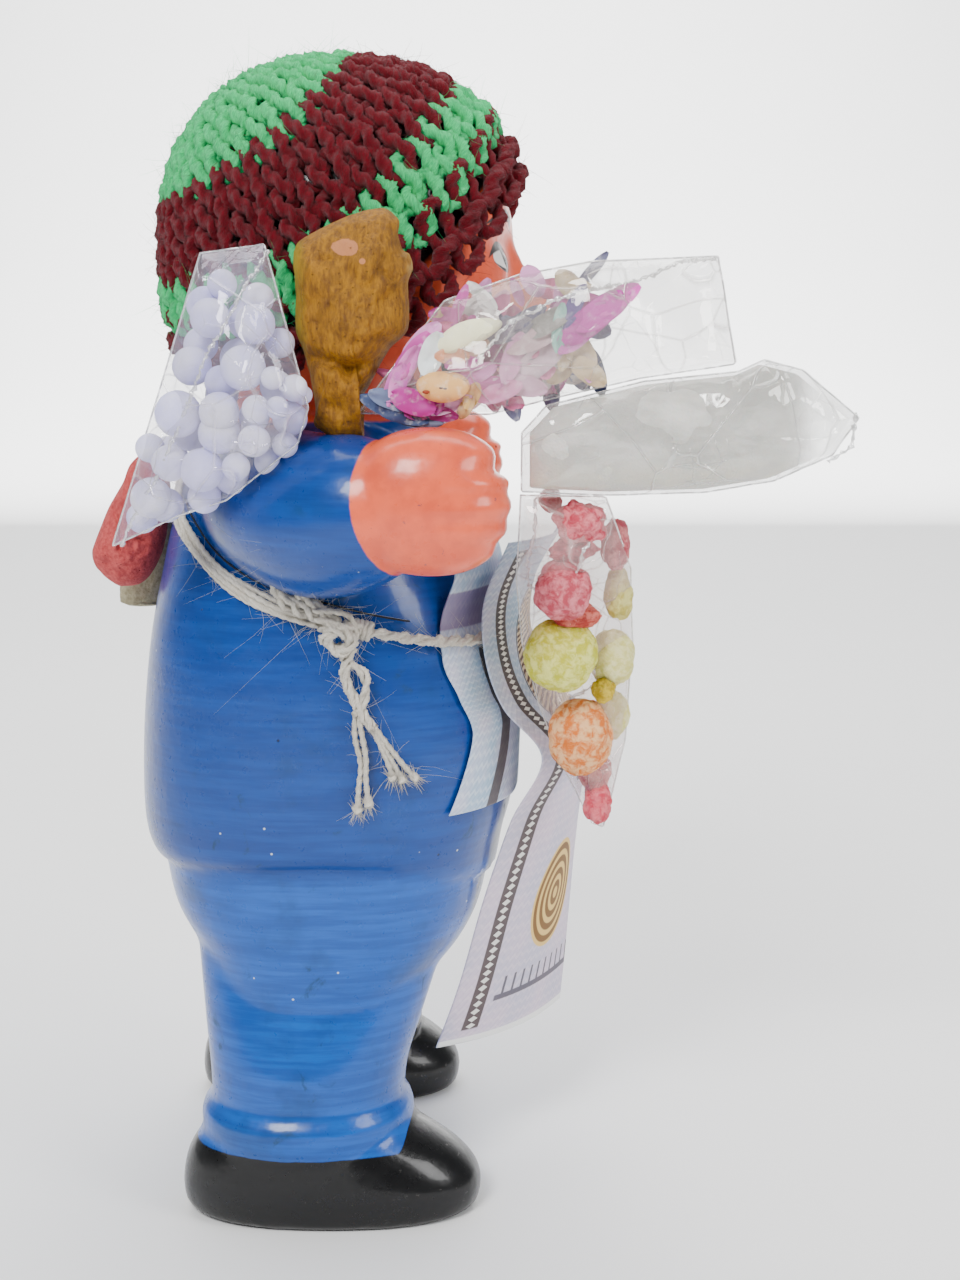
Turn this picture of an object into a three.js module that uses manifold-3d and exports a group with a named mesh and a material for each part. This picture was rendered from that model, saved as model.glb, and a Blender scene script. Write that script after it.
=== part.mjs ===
// A souvenir ekeko: a cast and painted figure in a knitted cap, tied round with string and hung
// with little sealed bags, lumps of painted clay and paper notes.
// Millimetres, +Z up. The figure faces +X, its right hand is towards -Y, and it stands on Z = 0.
import * as THREE from 'three';
import { mergeVertices } from 'three/addons/utils/BufferGeometryUtils.js';
import Module from 'manifold-3d';

const wasm = await Module();
wasm.setup();

// Driving dimensions
const gap = 0.3; // left between pieces that touch
const headCentre = new THREE.Vector3(-18.7, 0, 165);
const headRadii = new THREE.Vector3(29.2, 27.4, 31.8);
const headSquareness = 2.45;
const capThickness = 3.2;
const brimRoll = 1.3; // the brim stands this much prouder over the forehead
const capAxisLean = THREE.MathUtils.degToRad(38); // the crown leans back from upright
const legSpread = 23; // from the middle plane to a leg's axis
const shoeSpread = 26;
const shoeStep = 2.2; // the right shoe stands this far forward, the left one this far back
const hand = { x: -2.6, y: 50.6, z: 126.8, long: 12.4, thick: 7.6, high: 11.6 };
const stringRadius = 1.1;
const threadRadius = 0.25;
const noteThickness = 0.4;

// Level sections from the hem up: back and front along X, half width, and how square the plan is
const jacket = [
  { z: 61, back: -53.6, front: 8, side: 35.6, squareness: 2.8 },
  { z: 66, back: -55.2, front: 9.8, side: 37, squareness: 2.8 },
  { z: 73, back: -55.8, front: 11.4, side: 37.8, squareness: 2.7 },
  { z: 86, back: -55.4, front: 11.6, side: 38, squareness: 2.6 },
  { z: 100, back: -53.8, front: 9.2, side: 37.6, squareness: 2.6 },
  { z: 112, back: -51.4, front: 5, side: 36.6, squareness: 2.5 },
  { z: 123, back: -48.8, front: -1, side: 34.5, squareness: 2.4 },
  { z: 131, back: -45.6, front: -6, side: 31, squareness: 2.3 },
  { z: 136.5, back: -41.4, front: -10.5, side: 25, squareness: 2.2 },
  { z: 139.5, back: -35, front: -16, side: 15, squareness: 2 },
];

const seat = [
  { z: 34, back: -43.2, front: -6, side: 31, squareness: 2.6 },
  { z: 39, back: -44.4, front: -3, side: 34, squareness: 2.7 },
  { z: 46, back: -47, front: 2.8, side: 34.6, squareness: 2.7 },
  { z: 54, back: -50.8, front: 6, side: 35, squareness: 2.8 },
  { z: 68, back: -53, front: 7.6, side: 35.4, squareness: 2.8 },
];

// A leg's axis leans in towards the hip by the offset that is given for each section.
const leg = [
  { z: 11, back: -42.2, front: -8.6, side: 14.6, squareness: 2.2, lean: 0 },
  { z: 24, back: -42.6, front: -8, side: 15, squareness: 2.2, lean: 0.6 },
  { z: 33, back: -43.6, front: -5.4, side: 15, squareness: 2.3, lean: 2.6 },
  { z: 46, back: -45, front: -1, side: 13.6, squareness: 2.4, lean: 5.4 },
];

const cuff = [
  { z: 12.8, back: -42.8, front: -8, side: 15, squareness: 2.2 },
  { z: 13.8, back: -44, front: -7, side: 16, squareness: 2.2 },
  { z: 18, back: -44.2, front: -6.8, side: 16.2, squareness: 2.2 },
  { z: 19.4, back: -43, front: -7.8, side: 15.2, squareness: 2.2 },
];

const shoe = [
  { z: 0, back: -46, front: 0.4, side: 11.6, squareness: 2.4 },
  { z: 2.2, back: -49.4, front: 2.9, side: 13, squareness: 2.4 },
  { z: 6, back: -49.6, front: 2.8, side: 13.2, squareness: 2.4 },
  { z: 10, back: -48.8, front: -0.2, side: 12.6, squareness: 2.3 },
  { z: 13.5, back: -46.8, front: -5, side: 12, squareness: 2.2 },
  { z: 16.5, back: -43.6, front: -10, side: 11, squareness: 2.1 },
];

// Geometry helpers
const power = (value, exponent) => Math.sign(value) * Math.abs(value) ** exponent;
const { lerp, smoothstep } = THREE.MathUtils;

// Shared vertices only, faces pointing out.
function closed(geometry) {
  geometry.deleteAttribute('normal');
  geometry.deleteAttribute('uv');
  const merged = mergeVertices(geometry, 1e-4);
  const [a, b, c] = [new THREE.Vector3(), new THREE.Vector3(), new THREE.Vector3()];
  const { position } = merged.attributes;
  const corners = merged.index.array;
  let volume = 0;
  for (let i = 0; i < corners.length; i += 3) {
    a.fromBufferAttribute(position, corners[i]);
    b.fromBufferAttribute(position, corners[i + 1]);
    c.fromBufferAttribute(position, corners[i + 2]);
    volume += a.dot(b.cross(c));
  }
  if (volume < 0) corners.reverse();
  return merged;
}

// Moves every vertex of a three.js geometry to the place that a function gives for it.
function reshape(geometry, place) {
  const { position } = geometry.attributes;
  for (let i = 0; i < position.count; i += 1) {
    const moved = place(new THREE.Vector3().fromBufferAttribute(position, i));
    position.setXYZ(i, moved.x, moved.y, moved.z);
  }
  return closed(geometry);
}

function solidOf(geometry) {
  return new wasm.Manifold(
    new wasm.Mesh({
      numProp: 3,
      vertProperties: new Float32Array(geometry.attributes.position.array),
      triVerts: new Uint32Array(geometry.index.array),
    }),
  );
}

function geometryOf(solid) {
  const { vertProperties, triVerts } = solid.getMesh();
  const geometry = new THREE.BufferGeometry();
  geometry.setAttribute('position', new THREE.BufferAttribute(vertProperties, 3));
  geometry.setIndex(new THREE.BufferAttribute(triVerts, 1));
  return geometry;
}

function joined(geometries) {
  const solids = geometries.map(solidOf);
  return solids.reduce((whole, solid) => whole.add(solid));
}

// The plan at any height between the first and last section.
function sectionAt(sections, z) {
  const upper = Math.max(1, sections.findIndex((section) => section.z >= z));
  const [low, high] = [sections[upper - 1], sections[upper]];
  const share = (z - low.z) / (high.z - low.z);
  const blend = (key) => lerp(low[key], high[key], share);
  return {
    z,
    back: blend('back'),
    front: blend('front'),
    side: blend('side'),
    squareness: blend('squareness'),
  };
}

// A point on a section, by its angle from the front, a distance outside it.
function onSection({ z, back, front, side, squareness }, angle, outside = 0) {
  const [along, across] = [(front - back) / 2, side];
  const cos = power(Math.cos(angle), 2 / squareness);
  const sin = power(Math.sin(angle), 2 / squareness);
  const [ahead, aside] = [power(cos, squareness - 1) / along, power(sin, squareness - 1) / across];
  const point = new THREE.Vector3((front + back) / 2 + along * cos, across * sin, z);
  return point.addScaledVector(new THREE.Vector3(ahead, aside, 0).normalize(), outside);
}

// A body built up from level sections.
function stack(sections, segments, { x = 0, y = 0, lift = () => 0 } = {}) {
  const rows = sections.length - 1;
  return reshape(new THREE.CylinderGeometry(1, 1, 1, segments, rows), (unit) => {
    const row = Math.round((unit.y + 0.5) * rows);
    const reach = Math.hypot(unit.x, unit.z);
    const section = sections[row];
    const point = onSection(section, Math.atan2(-unit.z, unit.x));
    const middle = (section.back + section.front) / 2;
    const at = new THREE.Vector3(lerp(middle, point.x, reach), point.y * reach, section.z);
    at.z += lift(at.x, row);
    return at.add(new THREE.Vector3(x, y - Math.sign(y) * (section.lean ?? 0), 0));
  });
}

// A round body along a path of stations, each with a radius, closed to a point at both ends.
function limb(stations, segments, tip = 0.6) {
  const middles = stations.map(([x, y, z]) => new THREE.Vector3(x, y, z));
  const radii = stations.map(([, , , radius]) => radius);
  const last = stations.length - 1;
  const heading = (i) => {
    const [from, to] = [middles[Math.max(0, i - 1)], middles[Math.min(last, i + 1)]];
    return to.clone().sub(from).normalize();
  };
  return reshape(new THREE.SphereGeometry(1, segments, last + 2), (unit) => {
    const row = Math.round((Math.acos(unit.y) / Math.PI) * (last + 2)) - 1;
    if (row < 0) return middles[0].clone().addScaledVector(heading(0), -tip * radii[0]);
    if (row > last) return middles[last].clone().addScaledVector(heading(last), tip * radii[last]);
    const angle = Math.atan2(unit.z, unit.x);
    const side = heading(row).cross(new THREE.Vector3(0, 0, 1)).normalize();
    const up = side.clone().cross(heading(row));
    return middles[row]
      .clone()
      .addScaledVector(side, radii[row] * Math.cos(angle))
      .addScaledVector(up, radii[row] * Math.sin(angle));
  });
}

function ball([x, y, z], [radiusX, radiusY, radiusZ], across = 16, along = 8) {
  return reshape(new THREE.SphereGeometry(1, across, along), (unit) =>
    new THREE.Vector3(x + unit.x * radiusX, y + unit.z * radiusY, z + unit.y * radiusZ));
}

// A pillow drawn as its outline in the XZ plane and swelling to both sides of it. The side
// function gives where its middle sheet lies in Y, and the swell how far it stands off that.
function pillow({ outline, perEdge = 3, rows = 6, side, swell, round = false, knead = () => 0 }) {
  const corners = outline.map(([x, z]) => new THREE.Vector3(x, 0, z));
  const rim = new THREE.CatmullRomCurve3(corners, true, 'centripetal');
  const centre = corners.reduce((sum, c) => sum.add(c), new THREE.Vector3()).divideScalar(corners.length);
  const onRim = (turn) => {
    if (round) return rim.getPoint(turn);
    const place = turn * corners.length;
    const from = Math.floor(place) % corners.length;
    return corners[from].clone().lerp(corners[(from + 1) % corners.length], place - Math.floor(place));
  };
  const edges = corners.length * perEdge;
  return reshape(new THREE.SphereGeometry(1, edges, rows), (unit) => {
    const reach = Math.hypot(unit.x, unit.z);
    const turn = Math.round((Math.atan2(unit.z, unit.x) / (2 * Math.PI) + 1) * edges) / edges;
    const at = centre.clone().lerp(onRim(turn % 1), reach);
    const off = unit.y + knead(at.x, at.z) * unit.y;
    return new THREE.Vector3(at.x, side(at.x, at.z) + off * swell, at.z);
  });
}

function tube(points, radius, steps, sides = 8) {
  const section = new THREE.Shape();
  section.absarc(0, 0, radius, 0, 2 * Math.PI);
  const route = new THREE.CatmullRomCurve3(points, false, 'centripetal');
  const options = { extrudePath: route, steps, curveSegments: sides / 2, bevelEnabled: false };
  return closed(new THREE.ExtrudeGeometry(section, options));
}

// A thin sheet over a surface that a function gives from a share across and a share down.
function sheet(surface, across, down) {
  const step = 0.01;
  return reshape(new THREE.BoxGeometry(1, 1, 1, across, down, 1), (unit) => {
    const [u, v] = [unit.x + 0.5, 0.5 - unit.y];
    const [from, to] = [surface(u - step, v), surface(u + step, v)];
    const face = to.sub(from).cross(new THREE.Vector3(0, 0, 1)).normalize();
    return surface(u, v).addScaledVector(face, unit.z * noteThickness);
  });
}

// How far the head's surface lies from its centre in a direction.
function headReach(direction, outside = 0) {
  const { x, y, z } = direction;
  const sum = [x / headRadii.x, y / headRadii.y, z / headRadii.z]
    .map((part) => Math.abs(part) ** headSquareness)
    .reduce((a, b) => a + b);
  return sum ** (-1 / headSquareness) + outside;
}

// The face, as soft bumps on the head: half widths to where each one fades, and how far it stands
// out. Those off the middle plane come in pairs.
const eyeLine = headCentre.z + 0.5;
const face = [
  { name: 'bridge', y: 0, z: eyeLine - 3.5, wide: 2.9, high: 6, out: 3.4 },
  { name: 'nose tip', y: 0, z: eyeLine - 8.2, wide: 3.7, high: 3.3, out: 6 },
  { name: 'nostril', y: 4.1, z: eyeLine - 9.6, wide: 1.9, high: 2, out: 2.2 },
  { name: 'eye socket', y: 10.5, z: eyeLine + 1.5, wide: 6.5, high: 4.6, out: -2.6 },
  { name: 'eyeball', y: 10.5, z: eyeLine - 0.3, wide: 4.6, high: 3, out: 2.4 },
  { name: 'brow', y: 10, z: eyeLine + 6.6, wide: 8, high: 2.6, out: 1.3 },
  { name: 'cheek', y: 13.5, z: eyeLine - 10.5, wide: 6.5, high: 6, out: 2.6 },
  { name: 'upper lip', y: 0, z: eyeLine - 15.1, wide: 6.2, high: 1.7, out: 2.8 },
  { name: 'lower lip', y: 0, z: eyeLine - 18.8, wide: 5.2, high: 1.8, out: 2.8 },
  { name: 'chin', y: 0, z: eyeLine - 25.2, wide: 6.5, high: 3.6, out: 3 },
];

function faceRelief({ y, z }) {
  const bump = (part, side) =>
    part.out * Math.exp(-(((y - side * part.y) / part.wide) ** 2) - ((z - part.z) / part.high) ** 2);
  return face.reduce((sum, part) => sum + bump(part, 1) + (part.y ? bump(part, -1) : 0), 0);
}

// The cast figure: head, jacket, sleeves, hands, trousers, cuffs and shoes in one piece
function head() {
  const rings = 20; // about the axis that runs out through the face
  const faceRings = 15; // these close up on the face, where the features are
  const faceAngle = 0.98;
  const skull = reshape(new THREE.SphereGeometry(1, 28, rings), (unit) => {
    const ring = Math.round((Math.acos(THREE.MathUtils.clamp(unit.y, -1, 1)) / Math.PI) * rings);
    const behind = Math.max(0, ring - faceRings) / (rings - faceRings);
    const polar = faceAngle * Math.min(1, ring / faceRings) + behind * (Math.PI - faceAngle);
    const turn = Math.atan2(unit.z, unit.x);
    const direction = new THREE.Vector3(
      Math.cos(polar), Math.sin(polar) * Math.sin(turn), Math.sin(polar) * Math.cos(turn),
    );
    const at = direction.clone().multiplyScalar(headReach(direction)).add(headCentre);
    if (direction.x > 0) at.x += faceRelief(at);
    return at;
  });
  const neck = new THREE.CylinderGeometry(15, 17, 20, 16).rotateX(Math.PI / 2).translate(-21, 0, 138);
  return [skull, closed(neck)];
}

// The mitten hand: four fingers side by side down its outer face, and the thumb on top
function handParts(side) {
  const palm = ball([hand.x, side * hand.y, hand.z], [hand.long, hand.thick, hand.high], 12, 9);
  const fingers = [
    { z: 132.8, radius: 2.3 },
    { z: 128.6, radius: 2.4 },
    { z: 124.6, radius: 2.3 },
    { z: 120.6, radius: 2.3 },
  ].map(({ z, radius }) => {
    const bulge = hand.thick * Math.sqrt(1 - ((z - hand.z) / hand.high) ** 2);
    const y = hand.y + bulge - radius + 0.9;
    const reach = 1.5 * Math.cos((z - hand.z) / 8);
    const stations = [
      [-6.5, y - 0.6, z + 0.3, radius * 0.9],
      [3, y - 0.2, z, radius],
      [6.8 + reach, y - 2.6, z, radius],
      [8.4 + reach, y - 5, z, radius * 0.8],
    ];
    return limb(stations.map(([x, across, up, r]) => [x, side * across, up, r]), 6);
  });
  const thumb = [
    [-5, 50.5, 135.2, 2.3],
    [3, 51, 136.4, 2.4],
    [8.6, 50.5, 135.8, 1.9],
  ];
  return [palm, ...fingers, limb(thumb.map(([x, y, z, r]) => [x, side * y, z, r]), 6)];
}

function sleeve(side) {
  const stations = [
    [-31, 20, 126.5, 11],
    [-28, 31, 125, 12.6],
    [-20.5, 40, 123.6, 13.2],
    [-13, 46.3, 125, 12.2],
    [-7, 49.2, 126.4, 10.8],
  ];
  return limb(stations.map(([x, y, z, r]) => [x, side * y, z, r]), 14, 0.3);
}

function figure() {
  // The hem rides up at the side and drops in front.
  const hemLift = (x, row) => {
    if (row > 0) return 0;
    const ahead = x + 20;
    return 3.2 - (ahead > 0 ? 0.0088 : 0.0024) * ahead * ahead;
  };
  const body = [stack(jacket, 30, { lift: hemLift }), stack(seat, 26), ...head()];
  for (const side of [-1, 1]) {
    const y = side * legSpread;
    body.push(stack(leg, 16, { y }), stack(cuff, 18, { y }));
    body.push(stack(shoe, 20, { x: -side * shoeStep, y: side * shoeSpread }));
    body.push(sleeve(side), ...handParts(side));
  }
  return joined(body);
}

// The knitted cap: a shell over the head, lowest over the ears and open at the face
function knittedCap() {
  const rows = 8;
  const crown = new THREE.Vector3(-Math.sin(capAxisLean), 0, Math.cos(capAxisLean));
  const forward = new THREE.Vector3(Math.cos(capAxisLean), 0, Math.sin(capAxisLean));
  const edge = (turn) =>
    THREE.MathUtils.degToRad(104.75 + 9.5 * Math.cos(turn) - 14.25 * Math.cos(2 * turn));
  return reshape(new THREE.SphereGeometry(1, 32, 2 * rows + 1), (unit) => {
    const row = Math.round((Math.acos(unit.y) / Math.PI) * (2 * rows + 1));
    const outer = row <= rows;
    const share = (outer ? row : 2 * rows + 1 - row) / rows;
    const turn = Math.atan2(unit.z, unit.x);
    const angle = share * edge(turn);
    const direction = crown
      .clone()
      .multiplyScalar(Math.cos(angle))
      .addScaledVector(forward, Math.sin(angle) * Math.cos(turn))
      .addScaledVector(new THREE.Vector3(0, 1, 0), Math.sin(angle) * Math.sin(turn));
    const roll = brimRoll * smoothstep(Math.cos(turn), -0.2, 0.8) * smoothstep(share, 0.7, 0.9);
    const outside = outer ? capThickness + roll - (share === 1 ? 0.9 : 0) : gap + 0.35;
    return direction.multiplyScalar(headReach(direction, outside)).add(headCentre);
  });
}

// The string: once round the jacket under the arms, knotted at the right, with two ends and a
// standing loop
const knotTurn = THREE.MathUtils.degToRad(-84);

const stringHeight = (turn) => lerp(101.6, 128, ((1 - Math.cos(turn)) / 2) ** 2.3);

function stringPoint(turn, outside) {
  const level = sectionAt(jacket, stringHeight(turn));
  const overNote = 1.1 * smoothstep(turn, -1.25, -0.95) * (1 - smoothstep(turn, 0.1, 0.5));
  return onSection(level, turn, outside + overNote);
}

function knottedString() {
  const outside = stringRadius + gap;
  const turns = Array.from({ length: 33 }, (_, i) => knotTurn + (i / 32) * 2 * Math.PI);
  const points = turns.map((turn) => stringPoint(turn > Math.PI ? turn - 2 * Math.PI : turn, outside));
  const knot = points[0].clone().add(new THREE.Vector3(0, -1.2, 0));
  points[0] = knot.clone().add(new THREE.Vector3(1.2, 0.4, 0));
  points[points.length - 1] = knot.clone().add(new THREE.Vector3(-1.2, 0.4, 0.3));
  const from = (offsets) => offsets.map(([x, y, z]) => knot.clone().add(new THREE.Vector3(x, y, z)));
  const bight = from([[-1, 0, 0.5], [-5, -6, 2], [-9.8, -11, 5], [-11.6, -12.6, 10.5], [-11, -12.8, 15.4],
    [-9.8, -12.8, 16.8], [-8.6, -12.8, 15.4], [-8.6, -12.4, 10.5], [-6.8, -10.6, 5], [-3, -5.6, 1.4],
    [0, 0, 0.5]]);
  const ends = [
    from([[0, 0, 0], [0.6, -1, -6], [1.4, -1, -13], [2.2, -0.6, -22], [2.4, -0.4, -30]]),
    from([[0.8, 0.2, 0], [1.6, -0.8, -6], [4, -0.8, -13], [7.6, -0.4, -19], [11, -0.2, -24]]),
  ];
  return joined([
    tube(points, stringRadius, 38),
    ball(knot.toArray(), [3.4, 2.2, 2.8], 10, 7),
    tube(bight, stringRadius, 12),
    ...ends.map((end) => tube(end, stringRadius * 0.9, 5)),
  ]);
}

// A fine dark thread that runs beside the string on the right side
function fineThread() {
  const points = [];
  for (let degrees = -142; degrees <= -64; degrees += 6) {
    const turn = THREE.MathUtils.degToRad(degrees);
    const level = sectionAt(jacket, stringHeight(turn) + 2.9);
    points.push(onSection(level, turn, threadRadius + 0.6));
  }
  return tube(points, threadRadius, 12);
}

// The goods
const ballBag = () => pillow({
  outline: [[-38, 164.5], [-27.8, 165.7], [-21.1, 141.1], [-22.8, 135.6], [-34.2, 126.8],
    [-42.3, 124.1], [-52.9, 119.2]],
  perEdge: 3,
  side: (x, z) => -45.5 - 0.26 * (x + 38) + 0.1 * (z - 140),
  swell: 8,
});

const confettiBag = () => pillow({
  outline: [[-14, 140], [-5, 151.5], [-0.4, 157.3], [11.3, 161.3], [22.2, 163.3], [42.2, 164.2],
    [45.3, 147.6], [30.3, 145.4], [15.4, 142], [6.7, 139.8]],
  perEdge: 2,
  side: (x) => -42 + 0.05 * (x - 10),
  swell: 7,
});

const sugarBag = () => pillow({
  outline: [[11.6, 137], [15.5, 141.2], [30.7, 144.9], [45.8, 146.4], [49.8, 148.2], [56.2, 146.6],
    [65.6, 139], [61.4, 133.1], [51.9, 129.1], [40.6, 127.4], [24.5, 127.1], [11.6, 127.8]],
  perEdge: 2,
  side: (x) => -44 + 0.12 * (x - 10),
  swell: 7,
});

const candyBag = () => pillow({
  outline: [[11.6, 126.9], [16.1, 126.9], [25.2, 126.6], [29.9, 114.3], [31.3, 100.4], [30.3, 82.8],
    [26.7, 67.4], [24.7, 68.1], [19, 79.3], [15.1, 89.9], [12.3, 100.4], [11.1, 112.6]],
  perEdge: 2,
  side: (x, z) => -21.5 - 18 * smoothstep(z, 96, 127),
  swell: 7.6,
});

const mustardLump = () => pillow({
  outline: [[-23.6, 165.6], [-18.6, 169], [-10.8, 171.8], [-7.2, 167.6], [-5.6, 162.4], [-7, 152.9],
    [-11.6, 145], [-14.6, 138.6], [-18.6, 137.8], [-21.6, 143.4], [-23.6, 154.6]],
  perEdge: 2,
  side: () => -41.5,
  swell: 7.6,
  round: true,
  knead: (x, z) => 0.12 * Math.sin(x * 0.9 + z * 0.35) - 0.3 * Math.exp(-(((z - 148) / 2.2) ** 2)),
});

const pinkLump = () => pillow({
  outline: [[-55, 131], [-60.4, 126], [-65, 116], [-65.8, 112], [-61, 107.4], [-55, 107.8],
    [-52.2, 114.5], [-50.9, 122], [-51.2, 127.4]],
  perEdge: 2,
  side: () => -3,
  swell: 7.8,
  round: true,
  knead: (x, z) => 0.1 * Math.sin(x * 1.3 + z * 0.5),
});

const creamRoll = () => stack([
  { z: 102.4, back: -62, front: -54.6, side: 3.4, squareness: 2 },
  { z: 104, back: -62.8, front: -54.2, side: 4, squareness: 2 },
  { z: 112, back: -61.2, front: -52.6, side: 3.8, squareness: 2 },
  { z: 119, back: -58.6, front: -51.2, side: 3.2, squareness: 2 },
  { z: 120.6, back: -57.4, front: -51.8, side: 2.4, squareness: 2 },
], 14, { y: 9.2 });

// The inner note lies on the belly under the string; the long one hangs over both.
const edgeCurve = (edge) =>
  new THREE.CatmullRomCurve3(edge.map((p) => new THREE.Vector3(...p)), false, 'centripetal');

function innerNote() {
  const edge = edgeCurve([[0, -27, 115.6], [0, -32, 101], [0, -31, 92.4], [0, -29.5, 85.5], [0, -33, 72.6]]);
  const width = 0.78; // as an angle round the belly
  return sheet((u, v) => {
    const { y, z } = edge.getPoint(v);
    const level = sectionAt(jacket, z);
    const turn = -Math.asin((-y / level.side) ** (level.squareness / 2));
    const flare = 4.4 * smoothstep(z, 103.5, 116); // it stands off the chest above the string
    return onSection(level, turn + width * u, 2 * gap + noteThickness / 2 + flare);
  }, 5, 8);
}

function longNote() {
  const bow = 3.3;
  const near = edgeCurve([[10, -22, 117.4], [6, -28, 108.7], [5.7, -29.4, 99.9], [9, -25, 89.3],
    [15.9, -21.5, 79.5], [10.4, -20, 67.7], [6, -19, 53], [1.5, -18, 38], [-2.9, -17, 24.8]]);
  const far = edgeCurve([[20, 11, 117.4], [14.6, 5.2, 108.7], [14, 4.2, 99.9], [19, 8, 89.3],
    [26.5, 11.3, 79.5], [25, 11.2, 67.7], [23.6, 10.6, 53], [22, 9.7, 38], [20.8, 8, 24.8]]);
  return sheet((u, v) => {
    const [from, to] = [near.getPoint(v), far.getPoint(v)];
    const face = to.clone().sub(from).cross(new THREE.Vector3(0, 0, 1)).normalize();
    return from.lerp(to, u).addScaledVector(face, 4 * bow * u * (1 - u));
  }, 4, 16);
}

const finishes = {
  enamel: { color: 0x14629f, roughness: 0.32 },
  wool: { color: 0x7a1038, roughness: 0.95 },
  cotton: { color: 0xe9e3d3, roughness: 0.9 },
  darkThread: { color: 0x1c1c20, roughness: 0.8 },
  film: { color: 0xd9d9de, roughness: 0.12 },
  mustardClay: { color: 0xa57c10, roughness: 0.7 },
  pinkClay: { color: 0xd07a78, roughness: 0.8 },
  creamClay: { color: 0xc9c4ac, roughness: 0.85 },
  paper: { color: 0xa9c6dc, roughness: 0.7 },
};

function piece(name, geometry, finish) {
  const material = new THREE.MeshStandardMaterial({ metalness: 0, ...finishes[finish] });
  const mesh = new THREE.Mesh(geometry, material);
  mesh.name = name;
  return mesh;
}

const group = new THREE.Group();
group.add(
  piece('figure', geometryOf(figure()), 'enamel'),
  piece('knitted_cap', knittedCap(), 'wool'),
  piece('string', geometryOf(knottedString()), 'cotton'),
  piece('thread', fineThread(), 'darkThread'),
  piece('bag_of_balls', ballBag(), 'film'),
  piece('bag_of_confetti', confettiBag(), 'film'),
  piece('bag_of_sugar', sugarBag(), 'film'),
  piece('bag_of_puffs', candyBag(), 'film'),
  piece('mustard_lump', mustardLump(), 'mustardClay'),
  piece('pink_lump', pinkLump(), 'pinkClay'),
  piece('cream_roll', creamRoll(), 'creamClay'),
  piece('inner_note', innerNote(), 'paper'),
  piece('long_note', longNote(), 'paper'),
);

export default group;
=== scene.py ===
# A souvenir ekeko: a cast and painted figure in a knitted cap, tied round with cotton string and
# hung with little film bags, lumps of painted clay and paper notes. The figure faces +X.
import math
import random

import bpy
import numpy as np
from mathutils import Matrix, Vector, noise


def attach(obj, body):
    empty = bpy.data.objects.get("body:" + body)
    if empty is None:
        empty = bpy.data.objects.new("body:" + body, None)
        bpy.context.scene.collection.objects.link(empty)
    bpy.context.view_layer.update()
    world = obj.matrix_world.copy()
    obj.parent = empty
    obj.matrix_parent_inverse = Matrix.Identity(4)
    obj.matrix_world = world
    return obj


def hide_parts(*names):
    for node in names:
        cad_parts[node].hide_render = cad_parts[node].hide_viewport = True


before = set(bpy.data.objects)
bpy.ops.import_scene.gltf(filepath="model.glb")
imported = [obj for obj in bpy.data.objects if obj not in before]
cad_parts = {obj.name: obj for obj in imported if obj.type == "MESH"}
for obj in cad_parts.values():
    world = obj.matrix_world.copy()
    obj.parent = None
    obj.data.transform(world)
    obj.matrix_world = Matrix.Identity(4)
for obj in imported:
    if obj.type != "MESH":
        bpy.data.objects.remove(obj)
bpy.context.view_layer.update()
mm = 0.001
print("frame loaded")

# The photograph's view
photoView = {"place": (5.1, -322, 150), "lookDown": 9.35, "lens": 49.8}

camera = bpy.data.objects.new("photo_view", bpy.data.cameras.new("photo_view"))
camera.data.sensor_fit = "VERTICAL"
camera.data.sensor_height = 36
camera.data.lens = photoView["lens"]
camera.data.clip_start = 0.01
camera.location = Vector(photoView["place"]) * mm
camera.rotation_euler = (math.radians(90 - photoView["lookDown"]), 0, 0)
bpy.context.scene.collection.objects.link(camera)
bpy.context.scene.camera = camera


# Small helpers for modelling
def clearSelection():
    if bpy.context.object and bpy.context.object.mode != "OBJECT":
        bpy.ops.object.mode_set(mode="OBJECT")
    bpy.ops.object.select_all(action="DESELECT")


def pick(*things):
    clearSelection()
    for thing in things:
        thing.select_set(True)
    bpy.context.view_layer.objects.active = things[0]


def modified(piece, kind, **settings):
    pick(piece)
    modifier = piece.modifiers.new(kind.title(), kind)
    for key, value in settings.items():
        setattr(modifier, key, value)
    bpy.ops.object.modifier_apply(modifier=modifier.name)
    return piece


def shaped(piece, place):
    for vertex in piece.data.vertices:
        vertex.co = place(vertex.co.copy())
    piece.data.update()
    return piece


def raised(rings, sides):  # a disc drawn upwards ring by ring, one unit at a time
    clearSelection()
    bpy.ops.mesh.primitive_circle_add(vertices=sides, radius=1, fill_type="NGON")
    bpy.ops.object.mode_set(mode="EDIT")
    bpy.ops.mesh.select_all(action="SELECT")
    for _ in range(rings - 1):
        bpy.ops.mesh.extrude_region_move(TRANSFORM_OT_translate={"value": (0, 0, 1)})
    bpy.ops.object.mode_set(mode="OBJECT")
    return bpy.context.object


def roundBall(segments, rings, place=(0, 0, 0), radius=1):
    clearSelection()
    bpy.ops.mesh.primitive_uv_sphere_add(segments=segments, ring_count=rings, radius=radius)
    ball = bpy.context.object
    return shaped(ball, lambda co: co + Vector(place))


def together(name, things):
    pick(*things)
    if len(things) > 1:
        bpy.ops.object.join()
    whole = bpy.context.object
    whole.name = name
    whole.data.name = name
    return whole


def outwards(piece):
    pick(piece)
    bpy.ops.object.mode_set(mode="EDIT")
    bpy.ops.mesh.select_all(action="SELECT")
    bpy.ops.mesh.normals_make_consistent(inside=False)
    bpy.ops.object.mode_set(mode="OBJECT")
    return piece


def smooth(piece):
    pick(piece)
    bpy.ops.object.shade_smooth()
    return piece


def finished(piece, finish, node):
    piece.data.materials.clear()
    piece.data.materials.append(finish)
    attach(piece, "root")
    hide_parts(node)
    return piece


def easeIn(value, low, high):
    share = min(1, max(0, (value - low) / (high - low)))
    return share * share * (3 - 2 * share)


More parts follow.
